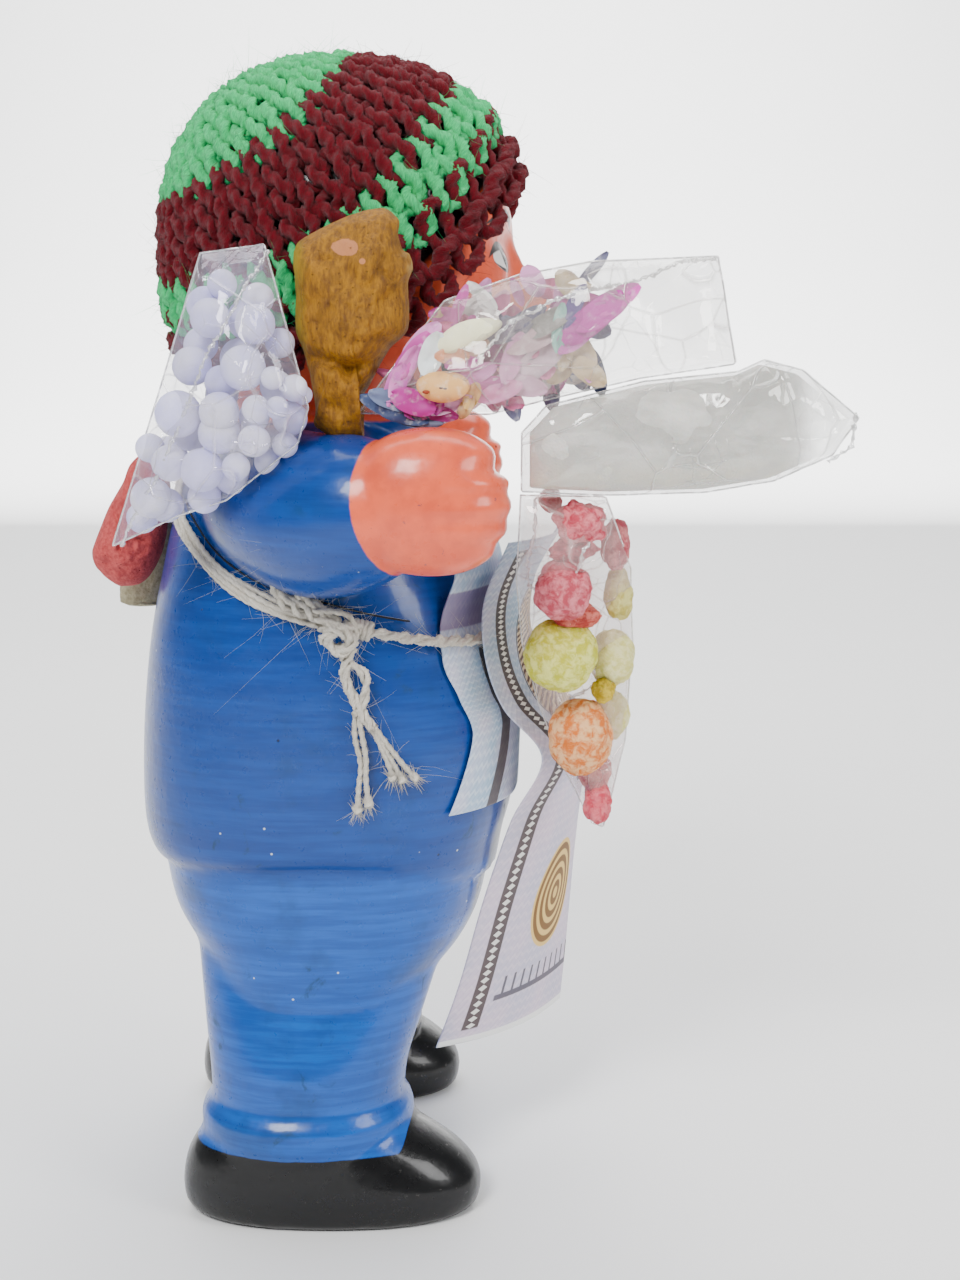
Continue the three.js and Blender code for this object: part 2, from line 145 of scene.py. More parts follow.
def power(value, exponent):
    return math.copysign(abs(value) ** exponent, value)


def between(rows, share):  # a smooth run through the rows of a table
    place = share * (len(rows) - 1)
    first = min(int(place), len(rows) - 2)
    t = place - first
    a, b, c, d = (np.array(rows[min(max(first + k, 0), len(rows) - 1)], float) for k in (-1, 0, 1, 2))
    return 0.5 * (2 * b + (c - a) * t + (2 * a - 5 * b + 4 * c - d) * t * t + (3 * b - a - 3 * c + d) * t ** 3)


# Shader maths: a wire wraps a node's output, and a paint holds one material
class Wire:
    def __init__(self, paint, plug):
        self.paint, self.plug = paint, plug

    def maths(self, operation, *others):
        return self.paint.node("ShaderNodeMath", {"operation": operation}, [self, *others])

    def __add__(self, other):
        return self.maths("ADD", other)

    def __sub__(self, other):
        return self.maths("SUBTRACT", other)

    def __rsub__(self, other):
        return self.paint.node("ShaderNodeMath", {"operation": "SUBTRACT"}, [other, self])

    def __mul__(self, other):
        return self.maths("MULTIPLY", other)

    def __truediv__(self, other):
        return self.maths("DIVIDE", other)

    def __pow__(self, other):
        return self.maths("POWER", other)

    __radd__ = __add__
    __rmul__ = __mul__


class Paint:
    def __init__(self, name, **plain):
        self.material = bpy.data.materials.new(name)
        self.material.use_nodes = True
        self.tree = self.material.node_tree
        self.shader = self.tree.nodes["Principled BSDF"]
        for socket, value in plain.items():
            self.shader.inputs[socket.replace("_", " ")].default_value = value

    def feed(self, socket, value):
        if isinstance(value, Wire):
            self.tree.links.new(value.plug, socket)
        else:
            socket.default_value = value

    def node(self, kind, settings, sockets, output=0):
        made = self.tree.nodes.new(kind)
        stops = settings.pop("stops", None)
        for key, value in settings.items():
            setattr(made, key, value)
        if stops:
            ramp = made.color_ramp
            while len(ramp.elements) < len(stops):
                ramp.elements.new(0.5)
            for element, (position, colour) in zip(ramp.elements, stops):
                element.position, element.color = position, colour
        for key, value in sockets.items() if isinstance(sockets, dict) else enumerate(sockets):
            self.feed(made.inputs[key], value)
        return Wire(self, made.outputs[output])

    def place(self, unit=mm):  # object coordinates, in millimetres
        at = self.node("ShaderNodeTexCoord", {}, {}, "Object")
        return self.node("ShaderNodeVectorMath", {"operation": "SCALE"}, {0: at, "Scale": 1 / unit})

    def sheetPlace(self, name):  # the piece's own UV map
        return self.node("ShaderNodeUVMap", {"uv_map": name}, {})

    def split(self, vector):
        parts = self.tree.nodes.new("ShaderNodeSeparateXYZ")
        self.feed(parts.inputs[0], vector)
        return [Wire(self, plug) for plug in parts.outputs]

    def vector(self, x, y, z=0):
        return self.node("ShaderNodeCombineXYZ", {}, [x, y, z])

    def stretched(self, vector, x, y, z):
        return self.node("ShaderNodeVectorMath", {"operation": "MULTIPLY"}, {0: vector, 1: (x, y, z)})

    def clouds(self, vector, scale, detail=3, rough=0.55, distort=0):
        sockets = {"Vector": vector, "Scale": scale, "Detail": detail, "Roughness": rough, "Distortion": distort}
        return self.node("ShaderNodeTexNoise", {}, sockets, "Fac")

    def cells(self, vector, scale, feature="F1", output="Distance"):
        return self.node("ShaderNodeTexVoronoi", {"feature": feature}, {"Vector": vector, "Scale": scale}, output)

    def ease(self, value, low, high, start=0, end=1):
        sockets = {"Value": value, "From Min": low, "From Max": high, "To Min": start, "To Max": end}
        return self.node("ShaderNodeMapRange", {"interpolation_type": "SMOOTHSTEP"}, sockets)

    def mix(self, share, first, second):
        return self.node("ShaderNodeMix", {"data_type": "RGBA"}, {0: share, 6: first, 7: second}, 2)

    def bump(self, height, distance, strength=1):
        return self.node("ShaderNodeBump", {}, {"Height": height, "Distance": distance, "Strength": strength})

    def done(self, **wires):
        for socket, value in wires.items():
            self.feed(self.shader.inputs[socket.replace("_", " ")], value)
        return self.material


def tint(red, green, blue):  # a screen colour as the shader wants it
    return tuple((c / 255 / 12.92 if c < 11 else ((c / 255 + 0.055) / 1.055) ** 2.4) for c in (red, green, blue)) + (1,)


# Floor and light
studio = {
    "floorColour": (0.93, 0.93, 0.925, 1),
    "skyColour": (0.92, 0.95, 1, 1),
    "skyStrength": 0.3,
    "sweep": {"front": -2.5, "bend": 0.55, "radius": 0.9, "top": 3.2, "half": 3.5},
    "lamps": [
        {"name": "key", "place": (-240, -560, 600), "size": 260, "power": 6.5},
        {"name": "front", "place": (460, -300, 330), "size": 220, "power": 1.8},
        {"name": "back", "place": (0, 420, 900), "size": 900, "power": 14, "aim": (0, 900, 0)},
        {"name": "wall", "place": (0, 600, 500), "size": 900, "power": 26, "aim": (0, 1500, 900)},
    ],
}


def setStudio(settings):
    sweep = settings["sweep"]
    clearSelection()
    bpy.ops.mesh.primitive_grid_add(x_subdivisions=2, y_subdivisions=60, size=1)
    floor = bpy.context.object
    floor.name = "floor"
    def place(co):
        run = (co.y + 0.5) * (sweep["bend"] - sweep["front"] + sweep["radius"] * math.pi / 2 + sweep["top"])
        flat = sweep["bend"] - sweep["front"]
        turn = min(max(run - flat, 0) / sweep["radius"], math.pi / 2)
        climb = max(0, run - flat - sweep["radius"] * math.pi / 2)
        y = sweep["front"] + min(run, flat) + sweep["radius"] * math.sin(turn)
        return Vector((co.x * 2 * sweep["half"], y, sweep["radius"] * (1 - math.cos(turn)) + climb))
    smooth(shaped(floor, place))
    paper = Paint("floor_paper", Roughness=0.9)
    tone = paper.clouds(paper.place(), 0.02, 2)
    floorColour = paper.mix(tone, settings["floorColour"], tuple(0.98 * c for c in settings["floorColour"]))
    floor.data.materials.append(paper.done(Base_Color=floorColour))
    world = bpy.data.worlds.new("studio")
    world.use_nodes = True
    world.node_tree.nodes["Background"].inputs["Color"].default_value = settings["skyColour"]
    world.node_tree.nodes["Background"].inputs["Strength"].default_value = settings["skyStrength"]
    bpy.context.scene.world = world
    for lamp in settings["lamps"]:
        light = bpy.data.lights.new(lamp["name"], "AREA")
        light.size, light.energy = lamp["size"] * mm, lamp["power"]
        thing = bpy.data.objects.new(lamp["name"], light)
        thing.location = Vector(lamp["place"]) * mm
        aim = Vector(lamp.get("aim", (0, 0, 105))) * mm - thing.location
        thing.rotation_euler = aim.to_track_quat("-Z", "Y").to_euler()
        bpy.context.scene.collection.objects.link(thing)


setStudio(studio)
print("studio set")

# The cast figure. Each level is its height, back, front, half width and how square the plan is.
figure = {
    "headCentre": (-18.7, 0, 165),
    "headRadii": (29.2, 27.4, 31.8),
    "headSquareness": 2.45,
    "jacket": [
        (61, -53.6, 8, 35.6, 2.8), (66, -55.2, 9.8, 37, 2.8), (73, -55.8, 11.4, 37.8, 2.7),
        (86, -55.4, 11.6, 38, 2.6), (100, -53.8, 9.2, 37.6, 2.6), (112, -51.4, 5, 36.6, 2.5),
        (123, -48.8, -1, 34.5, 2.4), (131, -45.6, -6, 31, 2.3), (136.5, -41.4, -10.5, 25, 2.2),
        (139.5, -35, -16, 15, 2),
    ],
    "seat": [
        (34, -43.2, -6, 31, 2.6), (39, -44.4, -3, 34, 2.7), (46, -47, 2.8, 34.6, 2.7),
        (54, -50.8, 6, 35, 2.8), (68, -53, 7.6, 35.4, 2.8),
    ],
    "leg": [(11, -42.2, -8.6, 14.6, 2.2), (24, -42.6, -8, 15, 2.2), (33, -43.6, -5.4, 15, 2.3), (46, -45, -1, 13.6, 2.4)],
    "legLean": [(0,), (0.6,), (2.6,), (5.4,)],
    "cuff": [
        (12.8, -42.8, -8, 15, 2.2), (13.4, -43.8, -7.1, 15.9, 2.2), (15.8, -44.3, -6.7, 16.3, 2.2),
        (18.2, -44.1, -6.9, 16.1, 2.2), (19.4, -43, -7.8, 15.2, 2.2),
    ],
    "shoe": [
        (0, -46, 0.4, 11.6, 2.4), (0.8, -48.2, 2, 12.6, 2.4), (2.4, -49.4, 2.9, 13, 2.4), (6, -49.6, 2.8, 13.2, 2.4),
        (10, -48.8, -0.2, 12.6, 2.3), (13.5, -46.8, -5, 12, 2.2), (16.5, -43.6, -10, 11, 2.1),
    ],
    "legSpread": 23,
    "shoeSpread": 26,
    "shoeStep": 2.2,
    "sleeve": [
        (-31, 20, 126.5, 11), (-28, 31, 125, 12.6), (-20.5, 40, 123.6, 13.2), (-13, 46.3, 125, 12),
        (-7, 49.2, 126.4, 9.6),
    ],
    "hand": {"centre": (-2.4, 51, 126.8), "radii": (12.5, 8.8, 11.4), "squareness": 2.3},
    "grooves": [132.4, 128.4, 124.2, 120.4],
    "voxel": 0.86,
}
headCentre = Vector(figure["headCentre"])
eyeLine = headCentre.z + 0.5

# The face, as soft bumps: place across and up, half width and height, and how far it stands out
face = {
    "bridge": (0, -3.5, 2.9, 6, 3.4), "nose tip": (0, -8.2, 3.7, 3.3, 6), "nostril": (4.1, -9.6, 1.9, 2, 2.2),
    "eye socket": (10.5, 1.5, 6.5, 4.6, -2.6), "eyeball": (10.5, -0.3, 4.6, 3, 2.4), "brow": (10, 6.6, 8, 2.6, 1.3),
    "cheek": (13.5, -10.5, 6.5, 6, 2.6), "upper lip": (0, -15.1, 6.2, 1.7, 2.8),
    "lower lip": (0, -18.8, 5.2, 1.8, 2.8), "parting": (0, -16.9, 6.5, 0.7, -0.9), "chin": (0, -25.2, 6.5, 3.6, 3),
}


def onSection(row, angle, outside=0):
    z, back, front, side, square = row
    ahead, aside = (front - back) / 2, side
    cos, sin = power(math.cos(angle), 2 / square), power(math.sin(angle), 2 / square)
    normal = Vector((power(cos, square - 1) / ahead, power(sin, square - 1) / aside, 0)).normalized()
    return Vector(((front + back) / 2 + ahead * cos, aside * sin, z)) + normal * outside


def headReach(direction):
    radii, square = figure["headRadii"], figure["headSquareness"]
    return sum(abs(d / r) ** square for d, r in zip(direction, radii)) ** (-1 / square)


def faceRelief(y, z):
    total = 0
    for across, up, wide, high, out in face.values():
        for side in (1, -1) if across else (1,):
            total += out * math.exp(-((y - side * across) / wide) ** 2 - ((z - eyeLine - up) / high) ** 2)
    return total


def stack(rows, rings, sides, move=lambda at, share: at):
    def place(co):
        share = co.z / (rings - 1)
        return move(onSection(between(rows, share), math.atan2(co.y, co.x)), share)
    return shaped(raised(rings, sides), place)


def limb(stations, rings, sides, tip):
    def place(co):
        share = co.z / (rings - 1)
        x, y, z, radius = between(stations, share)
        ahead = Vector((between(stations, min(1, share + 0.02)) - between(stations, max(0, share - 0.02)))[:3])
        side = ahead.cross(Vector((0, 0, 1))).normalized()
        up = side.cross(ahead).normalized()
        edge = min(share, 1 - share) / tip
        radius *= math.sqrt(1 - (1 - min(1, edge)) ** 2 * 0.98)
        angle = math.atan2(co.y, co.x)
        return Vector((x, y, z)) + (side * math.cos(angle) + up * math.sin(angle)) * radius
    return shaped(raised(rings, sides), place)


def skull():
    def place(co):
        direction = co.normalized()
        at = headCentre + direction * headReach(direction)
        if direction.x > 0:
            at.x += faceRelief(at.y, at.z)
        return at
    return shaped(roundBall(128, 110), place)


def mitten(side):
    centre, radii, square = (figure["hand"][key] for key in ("centre", "radii", "squareness"))
    def place(co):
        unit = co.normalized()
        reach = sum(abs(c) ** square for c in unit) ** (-1 / square)
        at = Vector([c * r * reach for c, r in zip(unit, radii)])
        x, z = at.x + centre[0], at.z + centre[2]
        front = easeIn(x, -5, 3)
        for index, level in enumerate(figure["grooves"]):
            wide, deep = (1.2, 2.2) if index == 0 else (1, 0.75)
            deep *= easeIn(x, 0, 11) if index == 0 else 1
            at *= 1 - deep / 10 * front * math.exp(-((z - level) / wide) ** 2)
        return Vector((at.x + centre[0], side * (at.y + centre[1]), at.z + centre[2]))
    return shaped(roundBall(96, 72), place)


def castFigure():
    def hem(at, share):
        ahead = at.x + 20
        lift = 3.2 - (0.0088 if ahead > 0 else 0.0024) * ahead * ahead
        return at + Vector((0, 0, lift * (1 - easeIn(share, 0, 0.1))))
    things = [stack(figure["jacket"], 60, 96, hem), stack(figure["seat"], 30, 96), skull()]
    things.append(stack([(128, -36, -6, 15, 2), (148, -34, -8, 14, 2)], 6, 48))
    for side in (-1, 1):
        def lean(at, share):
            return at + Vector((0, side * (figure["legSpread"] - between(figure["legLean"], share)[0]), 0))
        def step(at, share):
            return at + Vector((-side * figure["shoeStep"], side * figure["shoeSpread"], 0))
        def cuffPlace(at, share):
            return at + Vector((0, side * figure["legSpread"], 0))
        things.append(stack(figure["leg"], 24, 64, lean))
        things.append(stack(figure["cuff"], 12, 64, cuffPlace))
        things.append(stack(figure["shoe"], 30, 64, step))
        sleeve = [(x, side * y, z, radius) for x, y, z, radius in figure["sleeve"]]
        things += [limb(sleeve, 30, 48, 0.06), mitten(side)]
    whole = outwards(together("cast_figure", things))
    modified(whole, "REMESH", mode="VOXEL", voxel_size=figure["voxel"])
    modified(whole, "SMOOTH", factor=0.5, iterations=3)
    shaped(whole, lambda co: co * mm)
    return smooth(whole)


def figurePaint():
    paint = Paint("figure_enamel", Specular_IOR_Level=0.3, Coat_Weight=0.25, Coat_Roughness=0.09)
    at = paint.place()
    x, y, z = paint.split(at)
    wide = y.maths("ABSOLUTE")
    broad = paint.clouds(at, 0.05, 3)
    fine = paint.clouds(at, 0.6, 4, 0.6)
    strokes = paint.clouds(paint.stretched(at, 0.05, 0.05, 0.7), 1.4, 4, 0.6)
    wobble = (paint.clouds(at, 0.35, 3) - 0.5) * 1.6

    jacketBlue = paint.mix(paint.ease(strokes, 0.35, 0.7), tint(0, 54, 128), tint(2, 66, 146))
    trouserBlue = paint.mix(paint.ease(strokes, 0.35, 0.7), tint(2, 70, 152), tint(8, 86, 176))
    colour = paint.mix(paint.ease(z + wobble, 60, 63), trouserBlue, jacketBlue)
    shade = paint.ease(paint.clouds(at, 0.09, 4, 0.6), 0.52, 0.72)
    colour = paint.mix(shade * 0.4, colour, tint(14, 52, 92))
    olive = paint.ease(paint.clouds(at, 0.16, 5, 0.65, 0.6), 0.6, 0.7) * paint.ease(broad, 0.45, 0.6)
    colour = paint.mix(olive * 0.6, colour, tint(22, 54, 50))

    skin = paint.mix(paint.ease(paint.clouds(at, 0.25, 4), 0.35, 0.7), tint(236, 98, 62), tint(216, 84, 54))
    smudge = paint.ease(paint.clouds(at, 0.7, 4, 0.65), 0.66, 0.74) * paint.ease(z, 150, 130)
    skin = paint.mix(smudge * 0.75, skin, tint(60, 62, 84))
    hx, hy, hz = figure["hand"]["centre"]
    handZone = ((x - hx) / 13.4) ** 2 + ((wide - hy) / 15) ** 2 + ((z - hz) / 12.6) ** 2 + wobble * 0.04
    isHand = paint.ease(handZone, 1.02, 0.98) * paint.ease(wide, 38, 40)
    cx, cy, cz = figure["headCentre"]
    isHead = paint.ease(z + wobble * 0.4, 137.4, 138) * paint.ease(wide, 31, 30)
    isSkin = isHand.maths("MAXIMUM", isHead)

    # Dark paint on the head under the cap: black painted hair, and painted shade so the gaps between the stitches read
    # dark
    hairAndCapShade = tint(18, 15, 15)
    fromCentre = paint.node("ShaderNodeVectorMath", {"operation": "SUBTRACT"}, {0: at, 1: tuple(figure["headCentre"])})
    direction = paint.node("ShaderNodeVectorMath", {"operation": "NORMALIZE"}, {0: fromCentre})
    leaned = paint.node("ShaderNodeVectorMath", {"operation": "DOT_PRODUCT"}, {0: direction, 1: (-0.616, 0, 0.788)}, 1)
    dx, dy, dz = paint.split(direction)
    brimLine = 0.06 - (dx * 0.788 + dz * 0.616) * 0.165 - dy * dy * 0.48
    skin = paint.mix(paint.ease(leaned - brimLine, 0, 0.04) * isHead, skin, hairAndCapShade)

    ahead = paint.ease(x, -2, 0)
    eyeAcross, eyeUp = (wide - 10.4) / 4.3, (z - eyeLine + 0.4) / 2.1
    eyeZone = eyeAcross * eyeAcross + eyeUp * eyeUp
    skin = paint.mix(paint.ease(eyeZone, 1.05, 0.95) * ahead, skin, tint(238, 236, 232))
    iris = ((wide - 10) / 1.75) ** 2 + ((z - eyeLine + 0.3) / 1.9) ** 2
    skin = paint.mix(paint.ease(iris, 1.05, 0.95) * ahead, skin, tint(24, 20, 20))
    glint = ((wide - 9.5) / 0.45) ** 2 + ((z - eyeLine - 0.4) / 0.45) ** 2
    skin = paint.mix(paint.ease(glint, 1.1, 0.9) * ahead, skin, tint(240, 240, 240))

    def stroke(centre, droop, level, half, thick):  # a brushed arc over or under an eye
        across = wide - centre
        rise = z - level + across * across * droop
        taper = 1 - (across / half) ** 2
        return paint.ease(rise.maths("ABSOLUTE") - taper * thick, 0.18, -0.12) * paint.ease(taper, 0, 0.05) * ahead

    line = stroke(10.6, 0.075, eyeLine + 1.9, 5.6, 0.75)
    line = line.maths("MAXIMUM", stroke(10.4, -0.07, eyeLine - 2.3, 4.4, 0.28))
    line = line.maths("MAXIMUM", stroke(10.8, 0.055, eyeLine + 7.2, 6.6, 0.85))
    skin = paint.mix(line, skin, tint(22, 18, 18))
    lipAcross = y / 6.4
    lipUp = (z - eyeLine + 16.9) / 3.2
    lips = paint.ease(lipAcross * lipAcross + lipUp * lipUp, 1.04, 0.94) * ahead
    skin = paint.mix(lips, skin, tint(190, 40, 44))
    parting = paint.ease((z - eyeLine + 16.9).maths("ABSOLUTE"), 0.45, 0.15) * paint.ease(y.maths("ABSOLUTE"), 6, 5)
    skin = paint.mix(parting * ahead, skin, tint(90, 22, 26))
    blush = ((wide - 14) / 5.5) ** 2 + ((z - eyeLine + 10.5) / 4.5) ** 2
    skin = paint.mix(paint.ease(blush, 1.3, 0.2) * 0.35 * ahead, skin, tint(222, 84, 80))
    colour = paint.mix(isSkin, colour, skin)

    shoeTop = 13.1 + paint.ease(x, -9, -6.6) * 3.5
    isShoe = paint.ease(z - shoeTop + wobble * 0.25, 0.12, -0.12)
    scuff = paint.ease(paint.clouds(paint.stretched(at, 1, 1, 2), 0.5, 5, 0.7), 0.62, 0.7) * paint.ease(x, -16, -6)
    shoeBlack = paint.mix(scuff * 0.5, tint(7, 7, 8), tint(96, 94, 90))
    colour = paint.mix(isShoe, colour, shoeBlack)

    speck = paint.ease(paint.cells(at, 0.16), 0.04, 0.025)
    shadedPinHoles = paint.ease(paint.cells(at, 0.11), 0.035, 0.02)
    clothes = (1 - isSkin) * (1 - isShoe)
    colour = paint.mix(speck * clothes * 0.8, colour, tint(205, 215, 222))
    # Pin holes painted near black: painted shade inside the holes
    colour = paint.mix(shadedPinHoles * 0.85, colour, tint(14, 22, 30))
    rough = 0.2 + fine * 0.12 + olive * 0.25 + broad * 0.06
    height = strokes * 0.04 + fine * 0.06 + paint.clouds(at, 0.16, 3) * 0.5 - shadedPinHoles * 0.5
    return paint.done(Base_Color=colour, Roughness=rough, Normal=paint.bump(height, 0.6 * mm, 0.7))


castBody = finished(castFigure(), figurePaint(), "figure")
print("figure cast and painted", len(castBody.data.polygons))

# The knitted cap. Rows count from the brim, and each one's loops go right round the head.
cap = {
    "lean": 38,
    "stitches": [26] * 9 + [25, 22, 18, 12, 7],
    "stripes": ["red"] * 2 + ["green"] * 2 + ["red"] * 4 + ["green"] * 6,
    "yarn": 1.2,
    "wave": 0.19,
    "reach": 0.86,
    "out": 1.95,
    "depth": 0.8,
    "brimRoll": 1.3,
    "step": 0.75,
    "fibres": 3000,
}


def capPoint(turn, share, outside):
    lean = math.radians(cap["lean"])
    crown = np.array((-math.sin(lean), 0, math.cos(lean)))
    forward = np.array((math.cos(lean), 0, math.sin(lean)))
    edge = np.radians(104.75 + 9.5 * np.cos(turn) - 14.25 * np.cos(2 * turn))
    angle = share * edge
    direction = crown * np.cos(angle)[:, None] + forward * (np.sin(angle) * np.cos(turn))[:, None]
    direction = direction + np.array((0, 1, 0)) * (np.sin(angle) * np.sin(turn))[:, None]
    square = figure["headSquareness"]
    reach = (np.abs(direction / np.array(figure["headRadii"])) ** square).sum(axis=1) ** (-1 / square)
    roll = cap["brimRoll"] * np.clip((np.cos(turn) + 0.2), 0, 1) * np.clip((share - 0.7) / 0.2, 0, 1)
    return np.array(figure["headCentre"]) + direction * (reach + outside + roll)[:, None]


def carried(path, start=(0.31, 0.53, 0.79)):  # a frame carried along a path without twisting
    ahead = np.gradient(path, axis=0)
    ahead /= np.linalg.norm(ahead, axis=1)[:, None] + 1e-9
    side = np.empty_like(path)
    current = np.cross(ahead[0], start)
    for index, direction in enumerate(ahead):
        current = current - direction * current.dot(direction)
        current = current / (np.linalg.norm(current) + 1e-9)
        side[index] = current
    return ahead, side, np.cross(ahead, side)


def lengthAlong(path):
    return np.concatenate([[0], np.cumsum(np.linalg.norm(np.diff(path, axis=0), axis=1))])


def evenly(path, step):  # the same path with points a step apart
    along = lengthAlong(path)
    wanted = np.linspace(0, along[-1], max(3, int(along[-1] / step) + 1))
    return np.column_stack([np.interp(wanted, along, path[:, k]) for k in range(3)])


def curved(points, step):  # a smooth path through a few points
    shares = np.linspace(0, 1, len(points) * 12)
    return evenly(np.array([between(points, share) for share in shares]), step)


def spun(name, paths, radii, sides=8, lobed=0.0, pitch=5.0):
    points, faces, sheets = [], [], []
    for path, radius in zip(paths, radii):
        start, count = len(points) * 0 + sum(len(p) for p in points), len(path)
        along = lengthAlong(path)
        ahead, side, up = carried(path)
        base = np.arange(sides) * 2 * math.pi / sides
        turn = base[None, :] + 2 * math.pi * along[:, None] / pitch * (1 if lobed else 0)
        reach = (np.broadcast_to(radius, count)[:, None] * (1 + lobed * np.cos(2 * base))[None, :])
        ring = path[:, None, :] + side[:, None, :] * (np.cos(turn) * reach)[:, :, None]
        ring = ring + up[:, None, :] * (np.sin(turn) * reach)[:, :, None]
        points.append(ring.reshape(-1, 3))
        row, column = np.meshgrid(np.arange(count - 1), np.arange(sides), indexing="ij")
        after = (column + 1) % sides
        corners = [row * sides + column, row * sides + after, (row + 1) * sides + after, (row + 1) * sides + column]
        faces.append(start + np.stack(corners, axis=-1).reshape(-1, 4))
        shares = [column, column + 1, column + 1, column]
        lengths = [along[row], along[row], along[row + 1], along[row + 1]]
        sheets.append(np.stack([np.stack(lengths, -1), np.stack(shares, -1) / sides], -1).reshape(-1, 2))
    mesh = bpy.data.meshes.new(name)
    ends, start = [], 0
    for path in paths:
        last = start + (len(path) - 1) * sides
        ends += [[start + k for k in reversed(range(sides))], [last + k for k in range(sides)]]
        start = last + sides
    mesh.from_pydata((np.concatenate(points) * mm).tolist(), [], np.concatenate(faces).tolist() + ends)
    strip = mesh.uv_layers.new(name="along")
    flat = np.concatenate([np.concatenate(sheets), np.zeros((len(ends) * sides, 2))])
    strip.data.foreach_set("uv", flat.reshape(-1))
    mesh.polygons.foreach_set("use_smooth", [True] * len(mesh.polygons))
    thing = bpy.data.objects.new(name, mesh)
    bpy.context.scene.collection.objects.link(thing)
    return thing


def fuzz(paths, count, seed, length=(2, 6), outside=1.0, thick=0.05, drift=0.5):  # loose fibres
    dice = np.random.default_rng(seed)
    weights = np.array([len(path) for path in paths], float)
    picks = dice.choice(len(paths), count, p=weights / weights.sum())
    fibres = []
    for index in picks:
        path = paths[index]
        at = dice.integers(1, len(path) - 1)
        ahead = path[min(at + 1, len(path) - 1)] - path[at - 1]
        ahead = ahead / (np.linalg.norm(ahead) + 1e-9)
        away = dice.normal(size=3)
        away -= ahead * away.dot(ahead)
        away /= np.linalg.norm(away)
        reach = dice.uniform(*length)
        heading = ahead * dice.choice((-1, 1)) * dice.uniform(0.4, 1.2) + away * drift
        heading /= np.linalg.norm(heading)
        bend = dice.normal(size=3) * 0.5
        shares = np.linspace(0, 1, 5)[:, None]
        fibres.append(path[at] + away * outside + heading * shares * reach + bend * (shares * reach) ** 2 / 6)
    return fibres, [np.linspace(thick, thick * 0.3, 5)] * count


def knitRow(index):
    rows = len(cap["stripes"])
    stitches = cap["stitches"][index]
    dice = random.Random(index)
    t = np.linspace(0, 2 * math.pi * stitches, stitches * 24 + 1)
    uneven = np.interp(t, np.linspace(0, t[-1], stitches + 1), [dice.uniform(-0.09, 0.09) for _ in range(stitches + 1)])
    turn = (t / 2 / math.pi + cap["wave"] * np.sin(2 * t) + uneven) * 2 * math.pi / stitches + index * 0.05
    reach = cap["reach"] * (1 + uneven * 0.9)
    share = 1 - (index + 0.62) / rows + reach * np.cos(t) / rows
    facing = -1 if index < 2 else 1
    outside = cap["out"] - facing * cap["depth"] * np.cos(2 * t) + uneven * 1.5
    if index == 0:
        share = 1 - (index + 0.5) / rows + 0.6 * np.cos(t) / rows
    path = capPoint(turn, np.abs(share) + 0.004, outside)
    return evenly(path, cap["step"])


def knittedCap():
    rows = [knitRow(index) for index in range(len(cap["stripes"]))]
    pieces = []
    for colour in ("red", "green"):
        paths = [row for row, stripe in zip(rows, cap["stripes"]) if stripe == colour]
        radii = []
        for path in paths:
            crownward = np.linalg.norm(path - capPoint(np.array([0.0]), np.array([0.0]), np.array([2.0])), axis=1)
            radii.append(cap["yarn"] * np.clip(crownward / 17, 0.62, 1) ** 0.7)
        yarn = spun("cap_yarn_" + colour, paths, radii, 8, 0.22, 5.5)
        fibres, thin = fuzz(paths, cap["fibres"], 11 if colour == "red" else 12, (1.5, 4.5), 1.05, 0.04, 0.35)
        fluff = spun("cap_fluff_" + colour, fibres, thin, 3)
        pieces.append(together("knitted_cap_" + colour, [yarn, fluff]))
    return pieces


def yarnPaint(name, deep, bright, pale):
    paint = Paint(name, Roughness=0.95, Specular_IOR_Level=0.12, Sheen_Weight=0.12, Sheen_Roughness=0.5)
    along, around, _ = paint.split(paint.sheetPlace("along"))
    slant = paint.vector(along * 0.8 + around * 4, around * 30 - along * 2.5)
    fibres = paint.clouds(slant, 1.6, 4, 0.7)
    patches = paint.clouds(paint.place(), 0.35, 3)
    colour = paint.mix(paint.ease(fibres, 0.3, 0.72), deep, bright)
    colour = paint.mix(paint.ease(patches, 0.5, 0.75) * 0.35, colour, deep)
    colour = paint.mix(paint.ease(fibres, 0.66, 0.8) * 0.5, colour, pale)
    return paint.done(Base_Color=colour, Normal=paint.bump(fibres, 0.35 * mm, 0.9))


capRed, capGreen = knittedCap()
finished(capRed, yarnPaint("red_wool", tint(58, 0, 8), tint(132, 0, 26), tint(170, 22, 62)), "knitted_cap")
finished(capGreen, yarnPaint("green_wool", tint(20, 160, 88), tint(62, 246, 146), tint(170, 255, 208)), "knitted_cap")
print("cap knitted", len(capRed.data.polygons), len(capGreen.data.polygons))

